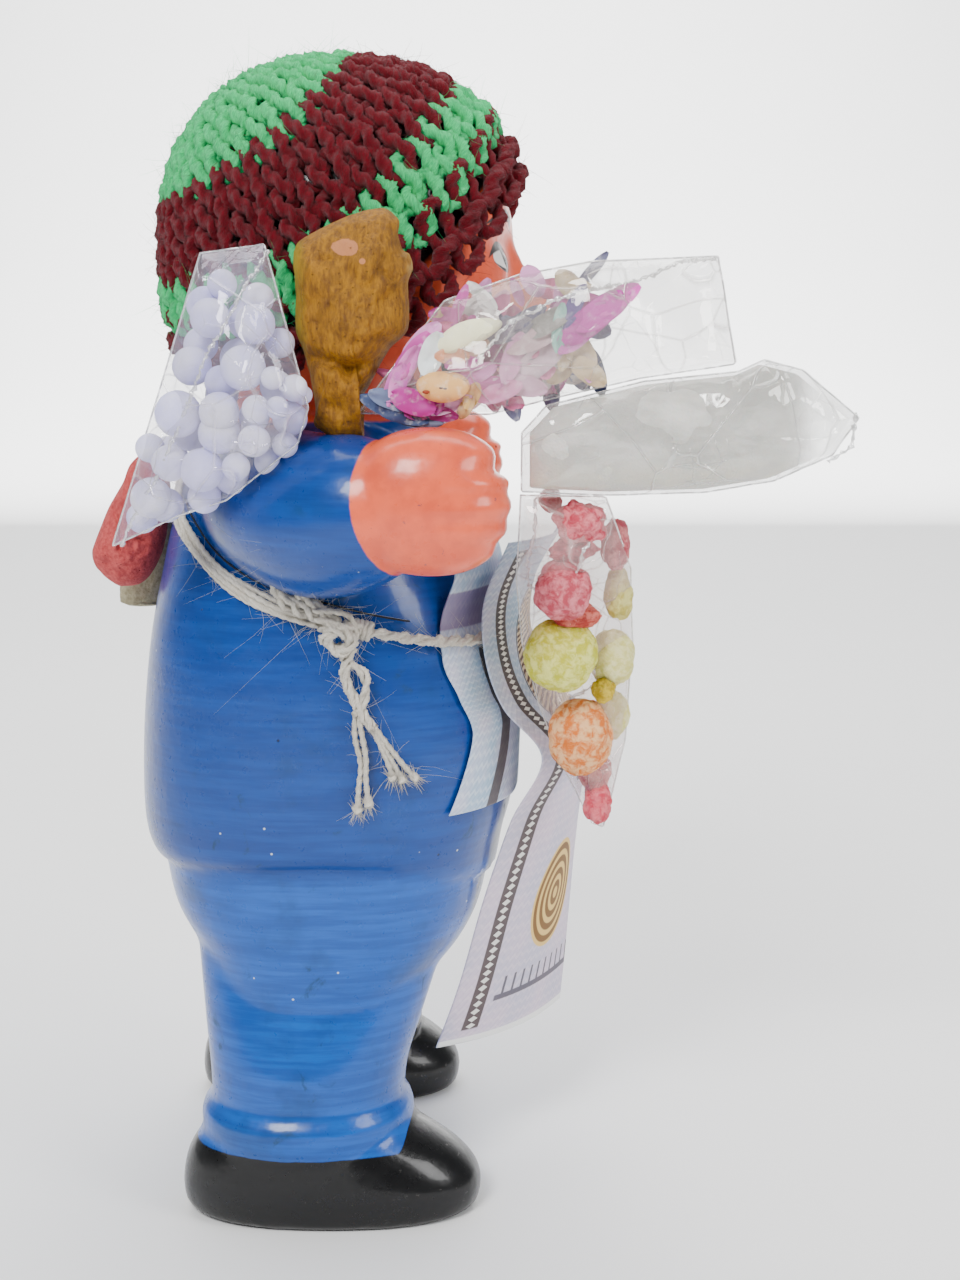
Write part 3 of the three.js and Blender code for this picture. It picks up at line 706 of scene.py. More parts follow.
# The string: a loose hank of strands behind the arm that twists up into a cord round the body
string = {
    "knotTurn": -84,
    "thick": 1.1,
    "strand": 0.5,
    "bight": [(-17.5, -40.2, 106.4), (-20.8, -40.2, 108.4), (-24.8, -40.4, 109.9), (-27.4, -41.2, 111.4), (-28.1, -42, 115),
              (-27.9, -42.4, 118.2), (-26.9, -42.6, 120.6), (-25.8, -42.6, 120.7), (-24.9, -42.4, 118.2),
              (-24.9, -41.8, 114.6), (-24.2, -40.8, 111.6), (-21.4, -40.6, 109.4), (-18, -40.4, 107.4)],
    "wraps": [(-27.2, -39.6, 110.4), (-24.8, -40, 109), (-21.4, -40.2, 107.8), (-17.6, -40, 106.2)],
    "loose": [
        [(-21.6, -41, 108.4), (-19.1, -41.6, 108.5), (-16.3, -41.2, 107.9), (-15.1, -40.6, 106.2), (-14.9, -40, 103.8)],
        [(-21.4, -41.2, 107), (-18.8, -41.8, 106.8), (-16.4, -41.6, 105.6), (-15, -41, 103.6), (-16, -40.4, 102.2)]],
    "knot": [
        [(-20.4, -39.2, 105), (-19.6, -41, 106.2), (-17, -42, 105.8), (-15.4, -41.2, 104), (-16.6, -40.4, 102.2),
         (-19, -40.6, 102.6), (-20.2, -41, 104.2), (-18.6, -42, 105.4), (-16.4, -41.6, 104.6), (-16.2, -40, 102.2)],
        [(-14.4, -39.4, 105.6), (-16.4, -41.6, 106), (-18.8, -41.8, 104.6), (-19.2, -41, 102.8), (-17.4, -41.2, 101.6),
         (-15.6, -41.4, 102.6), (-15.2, -40.2, 104.2)]],
    "tailLeft": [(-17.4, -40, 103), (-16.4, -39.8, 100), (-14, -39.7, 98.4), (-13.4, -39.6, 96.3), (-13.9, -39.7, 93.4),
                 (-15.2, -39.9, 91)],
    "tailRight": [(-15.6, -40, 102.4), (-16.8, -40, 98.4), (-16.3, -39.9, 95.9), (-14.5, -39.9, 92.2), (-12.3, -39.7, 88.8)],
    "ends": [
        [(-15.2, -39.6, 91), (-15.3, -39.4, 87.2), (-14.4, -39.3, 83), (-14.8, -39.2, 78.8), (-15.1, -39.2, 74.4)],
        [(-14.6, -40, 91), (-14.2, -39.6, 88), (-13.6, -39.5, 84), (-13.6, -39.4, 80), (-13.1, -39.2, 75.4)],
        [(-12.8, -39.8, 89.4), (-11.2, -39.2, 86), (-9.7, -38.7, 82), (-9.2, -38.4, 79.8)],
        [(-12.2, -39.7, 88.9), (-10.6, -39, 85.6), (-8.8, -38.4, 82), (-7.4, -37.9, 79.4)],
        [(-12, -39.9, 89), (-9.8, -38.9, 85.6), (-7.2, -38, 82), (-5.2, -37.2, 79.6)]],
}


def jacketAt(z):
    rows = figure["jacket"]
    upper = next((k for k, row in enumerate(rows) if row[0] >= z), 1) or 1
    low, high = np.array(rows[upper - 1]), np.array(rows[upper])
    return tuple(low + (high - low) * (z - low[0]) / (high[0] - low[0]))


def stringPoint(turn, outside, lower=0.0):
    turn = (turn + math.pi) % (2 * math.pi) - math.pi
    height = 101.6 + (128 - 101.6) * ((1 - math.cos(turn)) / 2) ** 2.3 - lower
    overNote = 1.1 * easeIn(turn, -1.25, -0.95) * (1 - easeIn(turn, 0.1, 0.5))
    return np.array(onSection(jacketAt(height), turn, outside + overNote))


def cordRound():  # two plies of two strands each, which lie side by side where the hank is loose
    knotTurn = math.radians(string["knotTurn"])
    turns = np.linspace(knotTurn + 0.02, knotTurn + 2 * math.pi - 0.02, 900)
    middle = np.array([stringPoint(turn, string["thick"] + 0.2) for turn in turns])
    outward = np.array([stringPoint(turn, string["thick"] + 1.2) for turn in turns]) - middle
    down = np.array([stringPoint(turn, string["thick"] + 0.2, 1.0) for turn in turns]) - middle
    loose = np.array([easeIn(turn, math.radians(168), math.radians(200)) for turn in turns])
    along = lengthAlong(middle)
    phase = np.concatenate([[0], np.cumsum(np.diff(along) * 2 * math.pi / (6.5 + 34 * loose[1:]))])
    strands = []
    for index in range(4):
        ply, within = index // 2, index % 2
        angle = phase + ply * math.pi
        inner = phase * 1.6 + within * math.pi
        across = 0.42 * np.cos(angle) + 0.26 * np.cos(inner)
        off = 0.42 * np.sin(angle) + 0.26 * np.sin(inner)
        spread = (index - 1.5) * 0.72 + 0.22 * np.sin(phase * 2 + index * 1.7)
        across = across * (1 - loose) + spread * loose
        off = off * (1 - loose) + (0.3 * np.sin(index * 2.1 + along / 6) - 0.35) * loose
        strands.append(evenly(middle + outward * off[:, None] + down * across[:, None], 0.6))
    return strands


def corded(points, strands, spread, pitch):  # a bundle of strands twisting along a path
    path = curved(points, 0.5)
    ahead, side, up = carried(path)
    along = lengthAlong(path)
    bundle = []
    for index in range(strands):
        angle = along * 2 * math.pi / pitch + index * 2 * math.pi / strands
        bundle.append(path + side * (np.cos(angle) * spread)[:, None] + up * (np.sin(angle) * spread)[:, None])
    return bundle


def cottonString():
    thick = string["strand"]
    strands = cordRound()
    strands += corded(string["bight"], 2, 0.44, 7)
    strands += corded(string["wraps"], 2, 0.95, 5)
    strands += [curved(points, 0.5) for points in string["loose"]]
    for points in string["knot"]:
        strands += corded(points, 2, 0.4, 6)
    coilTurns = np.linspace(0, 3.4 * 2 * math.pi, 110)
    coil = [stringPoint(math.radians(-80.6) + 0.0033 * t, 1.3) for t in coilTurns]
    coil = np.array(coil) + np.column_stack([0.2 * np.sin(coilTurns), -1.25 * np.cos(coilTurns), 1.25 * np.sin(coilTurns)])
    strands.append(evenly(coil, 0.5))
    strands += corded(string["tailLeft"], 2, 0.46, 8) + corded(string["tailRight"], 3, 0.5, 9)
    radii = [np.full(len(path), thick * (0.92 if index < 4 else 1)) for index, path in enumerate(strands)]
    tips = []
    for points in string["ends"]:
        path = curved(points, 0.45)
        share = np.linspace(0, 1, len(path))
        strands.append(path)
        radii.append(thick * (1 + 0.75 * np.exp(-((share - 0.95) / 0.05) ** 2)) * np.where(share > 0.985, 0.7, 1))
        tips.append(path[-4:])
    cotton = spun("string_strands", strands, radii, 8, 0.16, 3.2)
    fibres, thin = fuzz(strands, 900, 21, (1.5, 5.5), thick * 0.9, 0.035, 0.5)
    tufts, tuftThin = fuzz(tips, 260, 22, (1, 2.6), 0.4, 0.06, 0.35)
    wisps, wispThin = fuzz([strands[4], strands[5]] + tips, 130, 23, (5, 10), 0.5, 0.03, 1.2)
    return together("string_cotton", [cotton, spun("string_fluff", fibres + tufts + wisps, thin + tuftThin + wispThin, 3)])


def cottonPaint():
    paint = Paint("cotton", Roughness=0.9, Specular_IOR_Level=0.25, Sheen_Weight=0.3)
    along, around, _ = paint.split(paint.sheetPlace("along"))
    fibres = paint.clouds(paint.vector(along * 0.9 + around * 3, around * 22 - along * 2.2), 1.8, 4, 0.7)
    grime = paint.clouds(paint.place(), 0.22, 3)
    colour = paint.mix(paint.ease(fibres, 0.3, 0.7), tint(188, 178, 158), tint(246, 242, 232))
    colour = paint.mix(paint.ease(grime, 0.5, 0.75) * 0.3, colour, tint(176, 160, 134))
    return paint.done(Base_Color=colour, Normal=paint.bump(fibres, 0.25 * mm, 0.8))


finished(cottonString(), cottonPaint(), "string")


def darkThread():
    turns = np.radians(np.linspace(-142, -64, 60))
    path = np.array([stringPoint(turn, 0.85 + 0.25 * math.sin(turn * 9), -2.9) for turn in turns])
    thread = spun("dark_thread", [evenly(path, 0.5)], [0.2], 6, 0.12, 1.4)
    paint = Paint("dark_cotton", Roughness=0.7, Specular_IOR_Level=0.3)
    along, around, _ = paint.split(paint.sheetPlace("along"))
    fibres = paint.clouds(paint.vector(along * 2, around * 12 - along * 3), 1.5, 3)
    colour = paint.mix(fibres, tint(12, 12, 14), tint(52, 50, 54))
    return finished(thread, paint.done(Base_Color=colour), "thread")


darkThread()
print("string tied")


# Pillow shapes: an outline in the XZ plane, a middle sheet and a swell to both sides of it
def outlinePoint(shape, turn):
    corners = shape["outline"]
    place = turn * len(corners)
    first = int(place) % len(corners)
    t = place - math.floor(place)
    if not shape.get("round"):
        return np.array(corners[first]) * (1 - t) + np.array(corners[(first + 1) % len(corners)]) * t
    rows = [corners[(first + k) % len(corners)] for k in (-1, 0, 1, 2)]
    return between(rows, (1 + t) / 3)


def pillow(shape, segments, rings, relief):
    centre = np.mean(np.array(shape["outline"]), axis=0)
    def place(co):
        reach = math.hypot(co.x, co.y)
        rim = outlinePoint(shape, (math.atan2(co.y, co.x) / 2 / math.pi) % 1)
        x, z = centre + (rim - centre) * reach
        at = Vector((x, shape["side"](x, z), z))
        half = shape["swell"] * co.z
        return at + Vector((0, half, 0)) + relief(at, half, reach)
    return shaped(roundBall(segments, rings), place)


mustard = {
    "outline": [
        (-11.1, 171.3), (-9.1, 171), (-7.6, 169.5), (-7.5, 167.2), (-6.9, 165.2), (-5.7, 164.4), (-5.1, 162.6),
        (-5.9, 160), (-6.2, 153.1), (-9.2, 149.7), (-11.9, 145), (-14.6, 140), (-13.1, 136.6), (-14.7, 135.6),
        (-16.5, 135.2), (-17.9, 135.6), (-19.7, 137), (-20.9, 138.3), (-20.7, 141.1), (-22.2, 148.7), (-23.5, 153.3),
        (-23.6, 158), (-23.9, 163.1), (-23.6, 165.2), (-22.1, 166.9), (-15.3, 170.2)],
    "side": lambda x, z: -41.5,
    "swell": 7.4,
    "round": True,
}
pink = {
    "outline": [
        (-55, 131), (-57.4, 129.8), (-58.9, 126.5), (-61.6, 121.9), (-64.5, 115.3), (-65, 113.4), (-64.6, 111.6),
        (-63.2, 109.9), (-60.6, 107.8), (-59.3, 107.5), (-56.6, 107.9), (-54.4, 110), (-52.2, 114.5), (-50.9, 122),
        (-51.2, 127.4)],
    "side": lambda x, z: -3,
    "swell": 7.6,
    "round": True,
}


def crack(at, path, wide):  # how near a point is to a drawn line, from 0 to 1
    nearest = 99
    for (x1, z1), (x2, z2) in zip(path, path[1:]):
        t = min(1, max(0, ((at[0] - x1) * (x2 - x1) + (at[1] - z1) * (z2 - z1)) / ((x2 - x1) ** 2 + (z2 - z1) ** 2)))
        nearest = min(nearest, math.hypot(at[0] - x1 - t * (x2 - x1), at[1] - z1 - t * (z2 - z1)))
    return math.exp(-(nearest / wide) ** 2)


def mustardLump():
    def relief(at, half, reach):
        face = math.copysign(1, half)
        edge = abs(half) / 7.4
        lumps = noise.noise(at * 0.16 + Vector((3, 0, 0))) * 1.5 + noise.noise(at * 0.5) * 0.6 + noise.noise(at * 1.6) * 0.16
        spot = (at.x, at.z)
        crease = 2.2 * crack(spot, [(-21.5, 148.6), (-17.2, 148), (-15.3, 147), (-10, 148)], 1.0)
        crease += 1.8 * crack(spot, [(-15.3, 146.4), (-12.6, 142.8)], 1.3) + 0.8 * crack(spot, [(-16.9, 141.2), (-16.5, 141)], 1.2)
        crease += 0.7 * crack(spot, [(-19.4, 163.6), (-17.4, 163.6)], 0.35) + 0.7 * crack(spot, [(-10.2, 161.7), (-7.7, 160.4)], 0.35)
        return Vector((lumps * 0.25, face * edge * (lumps - crease), lumps * 0.2))
    lump = outwards(together("mustard_clay_lump", [pillow(mustard, 220, 130, relief)]))
    shaped(lump, lambda co: co * mm)
    return smooth(lump)


def mustardPaint():
    paint = Paint("mustard_clay", Specular_IOR_Level=0.35)
    at = paint.place()
    x, y, z = paint.split(at)
    brushed = paint.clouds(paint.stretched(at, 1.2, 1.2, 0.35), 1.1, 5, 0.7)
    patches = paint.clouds(at, 0.28, 4, 0.6)
    colour = paint.mix(paint.ease(brushed, 0.3, 0.7), tint(104, 64, 0), tint(160, 108, 2))
    colour = paint.mix(paint.ease(patches, 0.5, 0.72) * 0.5, colour, tint(74, 42, 0))
    lemon = paint.ease(x + patches * 3, -19.5, -22.5)
    colour = paint.mix(lemon * 0.6, colour, tint(150, 138, 10))
    ragged = paint.ease(x + z * 0.06 + patches * 4, 5.4, 6.6)
    colour = paint.mix(ragged * 0.5, colour, tint(190, 160, 90))
    chipZone = ((x + 15.4) / 1.9) ** 2 + ((z - 165.2) / 1.3) ** 2 + (patches - 0.5) * 3
    chip = paint.ease(chipZone, 1.15, 0.85) * paint.ease(y, -44, -45)
    spotZone = ((x + 12.7) / 0.5) ** 2 + ((z - 163) / 0.45) ** 2
    colour = paint.mix(chip.maths("MAXIMUM", paint.ease(spotZone, 1.2, 0.8)) * 0.8, colour, tint(196, 126, 84))
    grit = paint.cells(at, 0.9)
    pits = paint.ease(grit, 0.16, 0.08)
    # The pits are painted darker: painted shade in the hollows
    colour = paint.mix(pits * 0.5, colour, tint(80, 54, 6))
    return paint.done(Base_Color=colour, Roughness=0.5 + brushed * 0.3, Normal=paint.bump(brushed - pits * 0.6, 0.45 * mm, 0.9))


def pinkLump():
    def relief(at, half, reach):
        face = math.copysign(1, half)
        edge = abs(half) / 7.6
        lumps = noise.noise(at * 0.2) * 1.3 + noise.noise(at * 0.7) * 0.5 + noise.noise(at * 2.1) * 0.15
        crease = 0.9 * crack((at.x, at.z), [(-55.4, 116.8), (-54.4, 116.2), (-53, 115.1)], 0.35)
        crease += 0.8 * crack((at.x, at.z), [(-60, 122), (-58.4, 119), (-58.8, 115)], 0.4)
        return Vector((lumps * 0.2, face * edge * (lumps - crease), lumps * 0.2))
    lump = outwards(together("pink_clay_lump", [pillow(pink, 160, 96, relief)]))
    shaped(lump, lambda co: co * mm)
    return smooth(lump)


def pinkPaint():
    paint = Paint("pink_clay", Specular_IOR_Level=0.3)
    at = paint.place()
    grain = paint.clouds(at, 1.4, 5, 0.7)
    patches = paint.clouds(at, 0.3, 4, 0.6)
    colour = paint.mix(paint.ease(grain, 0.3, 0.7), tint(168, 58, 58), tint(204, 88, 84))
    colour = paint.mix(paint.ease(patches, 0.52, 0.7) * 0.5, colour, tint(140, 44, 48))
    pits = paint.ease(paint.cells(at, 0.7), 0.13, 0.06)
    # The pits are painted darker: painted shade in the hollows
    colour = paint.mix(pits * 0.6, colour, tint(110, 44, 50))
    return paint.done(Base_Color=colour, Roughness=0.7 + grain * 0.2, Normal=paint.bump(grain - pits, 0.35 * mm, 0.9))


finished(mustardLump(), mustardPaint(), "mustard_lump")
finished(pinkLump(), pinkPaint(), "pink_lump")

roll = {
    "rows": [(102.3, -60, -56.4, 1.6, 2), (102.5, -62, -54.6, 3.4, 2), (104, -62.8, -54.2, 4, 2), (112, -61.2, -52.6, 3.8, 2),
             (119, -58.6, -51.2, 3.2, 2), (120.6, -57.4, -51.8, 2.4, 2)],
    "aside": 9.2,
}


def creamRoll():
    def place(at, share):
        bumpy = noise.noise(at * 0.5) * 0.35 + noise.noise(at * 1.7) * 0.12
        return at + Vector((bumpy, roll["aside"] + bumpy, 0))
    scroll = outwards(together("cream_clay_roll", [stack(roll["rows"], 60, 72, place)]))
    shaped(scroll, lambda co: co * mm)
    return smooth(scroll)


def creamPaint():
    paint = Paint("cream_clay", Specular_IOR_Level=0.3)
    at = paint.place()
    x, y, z = paint.split(at)
    grain = paint.clouds(at, 1.2, 5, 0.7)
    colour = paint.mix(paint.ease(grain, 0.3, 0.7), tint(150, 142, 112), tint(190, 182, 150))
    ring = (((x + 58.4) ** 2 + (y - 9.2) ** 2) ** 0.5 * 5).maths("SINE")
    shadedGroove = paint.ease(ring, 0.2, 0.8) * paint.ease(z, 104, 103)
    # The rings on the rolled end are painted darker: painted shade in the grooves
    colour = paint.mix(shadedGroove * 0.6, colour, tint(150, 140, 112))
    return paint.done(Base_Color=colour, Roughness=0.75 + grain * 0.15, Normal=paint.bump(grain - shadedGroove, 0.4 * mm, 0.8))


finished(creamRoll(), creamPaint(), "cream_roll")
print("lumps modelled")

# The paper notes, with a plain pattern of bars, rings and hatching of their own
notes = {
    "thick": 0.4,
    "innerEdge": [(-27, 115.6), (-32, 101), (-31, 92.4), (-29.5, 85.5), (-33, 72.6)],
    "innerWidth": 0.78,
    "longNear": [(10, -22, 117.4), (6, -28, 108.7), (5.7, -29.4, 99.9), (9, -25, 89.3), (15.9, -21.5, 79.5),
                 (10.4, -20, 67.7), (6, -19, 53), (1.5, -18, 38), (-2.9, -17, 24.8)],
    "longFar": [(20, 11, 117.4), (14.6, 5.2, 108.7), (14, 4.2, 99.9), (19, 8, 89.3), (26.5, 11.3, 79.5),
                (25, 11.2, 67.7), (23.6, 10.6, 53), (22, 9.7, 38), (20.8, 8, 24.8)],
    "bow": 3.3,
}


def sheetOf(name, surface, across, down):
    clearSelection()
    bpy.ops.mesh.primitive_grid_add(x_subdivisions=across, y_subdivisions=down, size=1)
    note = bpy.context.object
    note.name = name
    shaped(note, lambda co: surface(co.x + 0.5, 0.5 - co.y) * mm)
    modified(note, "SOLIDIFY", thickness=notes["thick"] * 0.6 * mm, offset=0)
    return smooth(outwards(note))


def innerNote():
    def surface(u, v):
        y, z = between(notes["innerEdge"], v)
        level = jacketAt(z)
        turn = -math.asin((-y / level[3]) ** (level[4] / 2))
        flare = 4.4 * easeIn(z, 103.5, 116) + 0.5 * noise.noise(Vector((u * 2, v * 5, 1)))
        return onSection(level, turn + notes["innerWidth"] * u, 0.8 + flare)
    return sheetOf("inner_note_paper", surface, 60, 110)


def longNote():
    def surface(u, v):
        start, end = Vector(between(notes["longNear"], v)), Vector(between(notes["longFar"], v))
        out = (end - start).cross(Vector((0, 0, 1))).normalized()
        ripple = 0.6 * noise.noise(Vector((u * 1.6, v * 6, 5)))
        return start.lerp(end, u) + out * (4 * notes["bow"] * u * (1 - u) + ripple)
    return sheetOf("long_note_paper", surface, 80, 240)


def paperPaint(name, wide, long, seed):
    paint = Paint(name, Roughness=0.62, Specular_IOR_Level=0.4)
    across, down, _ = paint.split(paint.sheetPlace("UVMap"))
    x, y = across * wide, (1 - down) * long
    flat = paint.vector(x, y)
    cloudy = paint.clouds(flat, 0.09, 3)
    colour = paint.mix(paint.ease(cloudy, 0.35, 0.65), tint(158, 188, 214), tint(198, 200, 222))
    zigzag = (((x * 1.1).maths("PINGPONG", 1) * 0.8 + y * 1.25) * math.pi).maths("SINE")
    weave = paint.ease(zigzag, 0.2, 0.8)
    colour = paint.mix(weave * 0.35, colour, tint(232, 240, 246))
    hatch = ((x + y) * 4.5).maths("SINE")
    colour = paint.mix(paint.ease(hatch, 0.4, 0.9) * 0.18, colour, tint(88, 110, 150))
    return paint, x, y, colour


def innerPaint():
    paint, x, y, colour = paperPaint("inner_note_print", 28, 45, 1)
    band = paint.ease((y - 7).maths("ABSOLUTE"), 2.2, 1.9)
    colour = paint.mix(band * 0.75, colour, tint(120, 96, 140))
    strip = paint.ease((x - 12.5).maths("ABSOLUTE"), 2.1, 1.9) * paint.ease(y, 12, 12.4)
    colour = paint.mix(strip * 0.9, colour, tint(66, 52, 48))
    rings = ((((x - 20) ** 2 + (y - 28) ** 2) ** 0.5) * 2.2).maths("SINE")
    disc = paint.ease((x - 20) ** 2 + (y - 28) ** 2, 42, 38)
    colour = paint.mix(disc * paint.ease(rings, -0.2, 0.4) * 0.85, colour, tint(60, 48, 56))
    return paint.done(Base_Color=colour)


def longPaint():
    paint, x, y, colour = paperPaint("long_note_print", 35, 95, 2)
    rosy = paint.ease(y, 22, 60)
    colour = paint.mix(rosy * 0.45, colour, tint(228, 190, 204))
    strip = paint.ease((x - 5.6).maths("ABSOLUTE"), 1.9, 1.7) * paint.ease(y, 3, 3.4) * paint.ease(y, 92, 91.6)
    teeth = ((y * 1.7).maths("PINGPONG", 1) - 0.5) * 2
    colour = paint.mix(strip * 0.92, colour, tint(58, 42, 34))
    cut = paint.ease((x - 5.6).maths("ABSOLUTE") - teeth * 0.6, 0.5, 0.35)
    colour = paint.mix(strip * cut * 0.9, colour, tint(236, 236, 230))
    ovalZone = ((x - 21) / 10.5) ** 2 + ((y - 34) / 21) ** 2
    oval = paint.ease(ovalZone, 1.02, 0.98)
    lines = ((x * 0.35 + y + paint.clouds(paint.vector(x, y), 0.12, 2) * 5) * 5.2).maths("SINE")
    engraved = paint.mix(paint.ease(lines, -0.5, 0.6), tint(78, 50, 34), tint(206, 184, 146))
    colour = paint.mix(oval, colour, engraved)
    rim = paint.ease((ovalZone - 1.06).maths("ABSOLUTE"), 0.05, 0.02)
    colour = paint.mix(rim, colour, tint(52, 38, 34))
    away = ((x - 22) ** 2 + (y - 74) ** 2) ** 0.5
    medal = paint.ease(away, 8.2, 8)
    ringed = (away * 3.4).maths("SINE")
    gold = paint.mix(paint.ease(ringed, -0.2, 0.5), tint(122, 84, 30), tint(226, 190, 110))
    colour = paint.mix(medal, colour, gold)
    ruled = paint.ease((y - 87.5).maths("ABSOLUTE"), 0.5, 0.35) * paint.ease(x, 9, 9.4)
    ticks = paint.ease((y - 86).maths("ABSOLUTE"), 1.6, 1.4) * paint.ease((x * 2.4).maths("SINE"), 0.6, 0.8) * paint.ease(x, 9, 9.4)
    colour = paint.mix(ruled.maths("MAXIMUM", ticks) * 0.85, colour, tint(52, 46, 58))
    colour = paint.mix(paint.ease(y, 93.2, 93.5), colour, tint(240, 240, 238))
    return paint.done(Base_Color=colour)


finished(innerNote(), innerPaint(), "inner_note")
finished(longNote(), longPaint(), "long_note")
print("notes hung")

def viewed(u, v, y):  # the place at a depth that the photograph shows at a point of its frame
    tilt = math.radians(photoView["lookDown"])
    x0, y0, z0 = photoView["place"]
    z = z0 + (y - y0) * math.tan(math.atan((640 - v) / 1771) - tilt)
    return x0 + (u - 480) * ((y - y0) * math.cos(tilt) - (z - z0) * math.sin(tilt)) / 1771, z


# The film bags and what is in them
def rise(value, low, high):
    return easeIn(value, low, high)


bags = {
    "balls": {
        "outline": [(-38, 164.5), (-27.8, 165.7), (-21.1, 141.1), (-22.8, 135.6), (-34.2, 126.8), (-42.3, 124.1),
                    (-52.9, 119.2)],
        "side": lambda x, z: -45.5 - 0.26 * (x + 38) + 0.1 * (z - 140), "swell": 7.6, "seed": 3,
    },
    "confetti": {
        "outline": [(-14, 140), (-5, 151.5), (-0.4, 157.3), (11.3, 161.3), (22.2, 163.3), (42.2, 164.2), (45.3, 147.6),
                    (30.3, 145.4), (15.4, 142), (6.7, 139.8)],
        "side": lambda x, z: -42 + 0.05 * (x - 10), "swell": 6.6, "seed": 4,
    },
    "sugar": {
        "outline": [(11.6, 137), (15.5, 141.2), (30.7, 144.9), (45.8, 146.4), (49.8, 148.2), (56.2, 146.6), (65.6, 139),
                    (61.4, 133.1), (51.9, 129.1), (40.6, 127.4), (24.5, 127.1), (11.6, 127.8)],
        "side": lambda x, z: -44 + 0.12 * (x - 10), "swell": 6.6, "seed": 5,
    },
    "puffs": {
        "outline": [(11.6, 126.9), (16.1, 126.9), (25.2, 126.6), (29.9, 114.3), (31.3, 100.4), (30.3, 82.8), (26.7, 67.4),
                    (24.7, 68.1), (19, 79.3), (15.1, 89.9), (12.3, 100.4), (11.1, 112.6)],
        "side": lambda x, z: -21.5 - 18 * rise(z, 96, 127), "swell": 7.2, "seed": 6,
    },
}


def crumple(at, seed, scale):  # sharp folds between flat facets
    spots = noise.voronoi(at / scale + Vector((seed * 7, seed * 3, 0)), distance_metric="MANHATTAN")[0]
    return spots[0] - 0.5


def filmBag(name, bag):
    def relief(at, half, reach):
        face = math.copysign(1, half)
        fold = 2.4 * crumple(at, bag["seed"], 17) + 0.5 * crumple(at, bag["seed"] + 20, 5)
        depth = min(1, abs(half) / bag["swell"] * 1.6)
        return Vector((0.15 * fold, face * depth * fold - face * 0.4 * depth, 0.15 * fold))
    film = outwards(pillow(bag, 200, 110, relief))
    film.name = name
    shaped(film, lambda co: co * mm)
    return smooth(film)


def filmPaint(name, tone, alpha):
    paint = Paint(name, Roughness=0.07, Specular_IOR_Level=1, Coat_Weight=1, Coat_Roughness=0.03, Metallic=0.25)
    at = paint.place()
    creaseGlints = paint.ease(paint.cells(at, 0.07, "DISTANCE_TO_EDGE"), 0.022, 0.0)
    fine = paint.ease(paint.cells(at, 0.22, "DISTANCE_TO_EDGE"), 0.03, 0.0) * paint.ease(paint.clouds(at, 0.1, 2), 0.5, 0.65)
    waves = paint.clouds(paint.stretched(at, 1, 1, 0.6), 0.12, 3)
    # The creases are made more opaque, so the pale film shows whiter along them: painted highlight for the glints on
    # the creases
    cover = alpha + creaseGlints * 0.3 + fine * 0.25 + paint.ease(waves, 0.5, 0.7) * 0.12
    height = creaseGlints + fine * 0.5 + waves * 2.5
    return paint.done(Base_Color=tone, Alpha=cover, Normal=paint.bump(height, 0.5 * mm, 0.7))


def rimOf(name, bag, thick, seed):  # the sealed edge, a thin crimped bead along the outline
    dice = np.random.default_rng(seed)
    count = 420
    turns = np.linspace(0, 1, count)
    path = []
    for turn in turns:
        x, z = outlinePoint(bag, turn % 1)
        path.append((x, bag["side"](x, z), z))
    path = np.array(path)
    path[:, 1] += np.interp(turns, np.linspace(0, 1, 60), dice.normal(size=60) * 0.25)
    return spun(name, [evenly(path, 0.5)], [thick], 5)


def beaded(name, path, seed, wide=0.55):  # glinting wrinkles where the film was gathered and sealed
    dice = np.random.default_rng(seed)
    line = evenly(np.array(path, float), 0.45)
    count = len(line)
    size = wide * (0.35 + 0.65 * dice.random(count)) * (0.4 + 0.6 * np.abs(np.sin(np.arange(count) * 0.9)))
    line = line + dice.normal(size=(count, 3)) * wide * 0.22
    return spun(name, [line], [size], 6)


filmFinishes = {
    "balls": (tint(214, 208, 226), 0.2), "confetti": (tint(214, 208, 200), 0.22), "sugar": (tint(220, 219, 214), 0.3),
    "puffs": (tint(226, 200, 196), 0.24)}
seams = {
    "balls": [[(268, 250), (240, 295), (226, 322), (206, 355), (190, 399), (160, 470), (135, 515), (121, 545)]],
    "confetti": [[(480, 357), (510, 322), (560, 298), (600, 288), (640, 280), (680, 262), (716, 258)]],
    "sugar": [[(856, 412), (852, 446), (828, 462)]],
    "puffs": [[(536, 495), (535, 530), (527, 562), (528, 585), (545, 596), (562, 588), (578, 570), (584, 550), (604, 518)],
              [(590, 660), (600, 682), (585, 690), (570, 698)]],
}


def filmFront(bag, u, v):  # where a sight line from the camera meets the front of a bag
    y = -48
    for _ in range(12):
        x, z = viewed(u, v, y)
        centre = np.mean(np.array(bag["outline"]), axis=0)
        reach = 0
        for k in range(90):
            edge = outlinePoint(bag, k / 90) - centre
            away = np.array((x, z)) - centre
            if np.dot(edge, away) > 0.99 * np.linalg.norm(edge) * np.linalg.norm(away):
                reach = max(reach, min(1, np.linalg.norm(away) / np.linalg.norm(edge)))
        y = bag["side"](x, z) - bag["swell"] * math.sqrt(max(0, 1 - reach * reach)) - 0.3
    return x, y, z


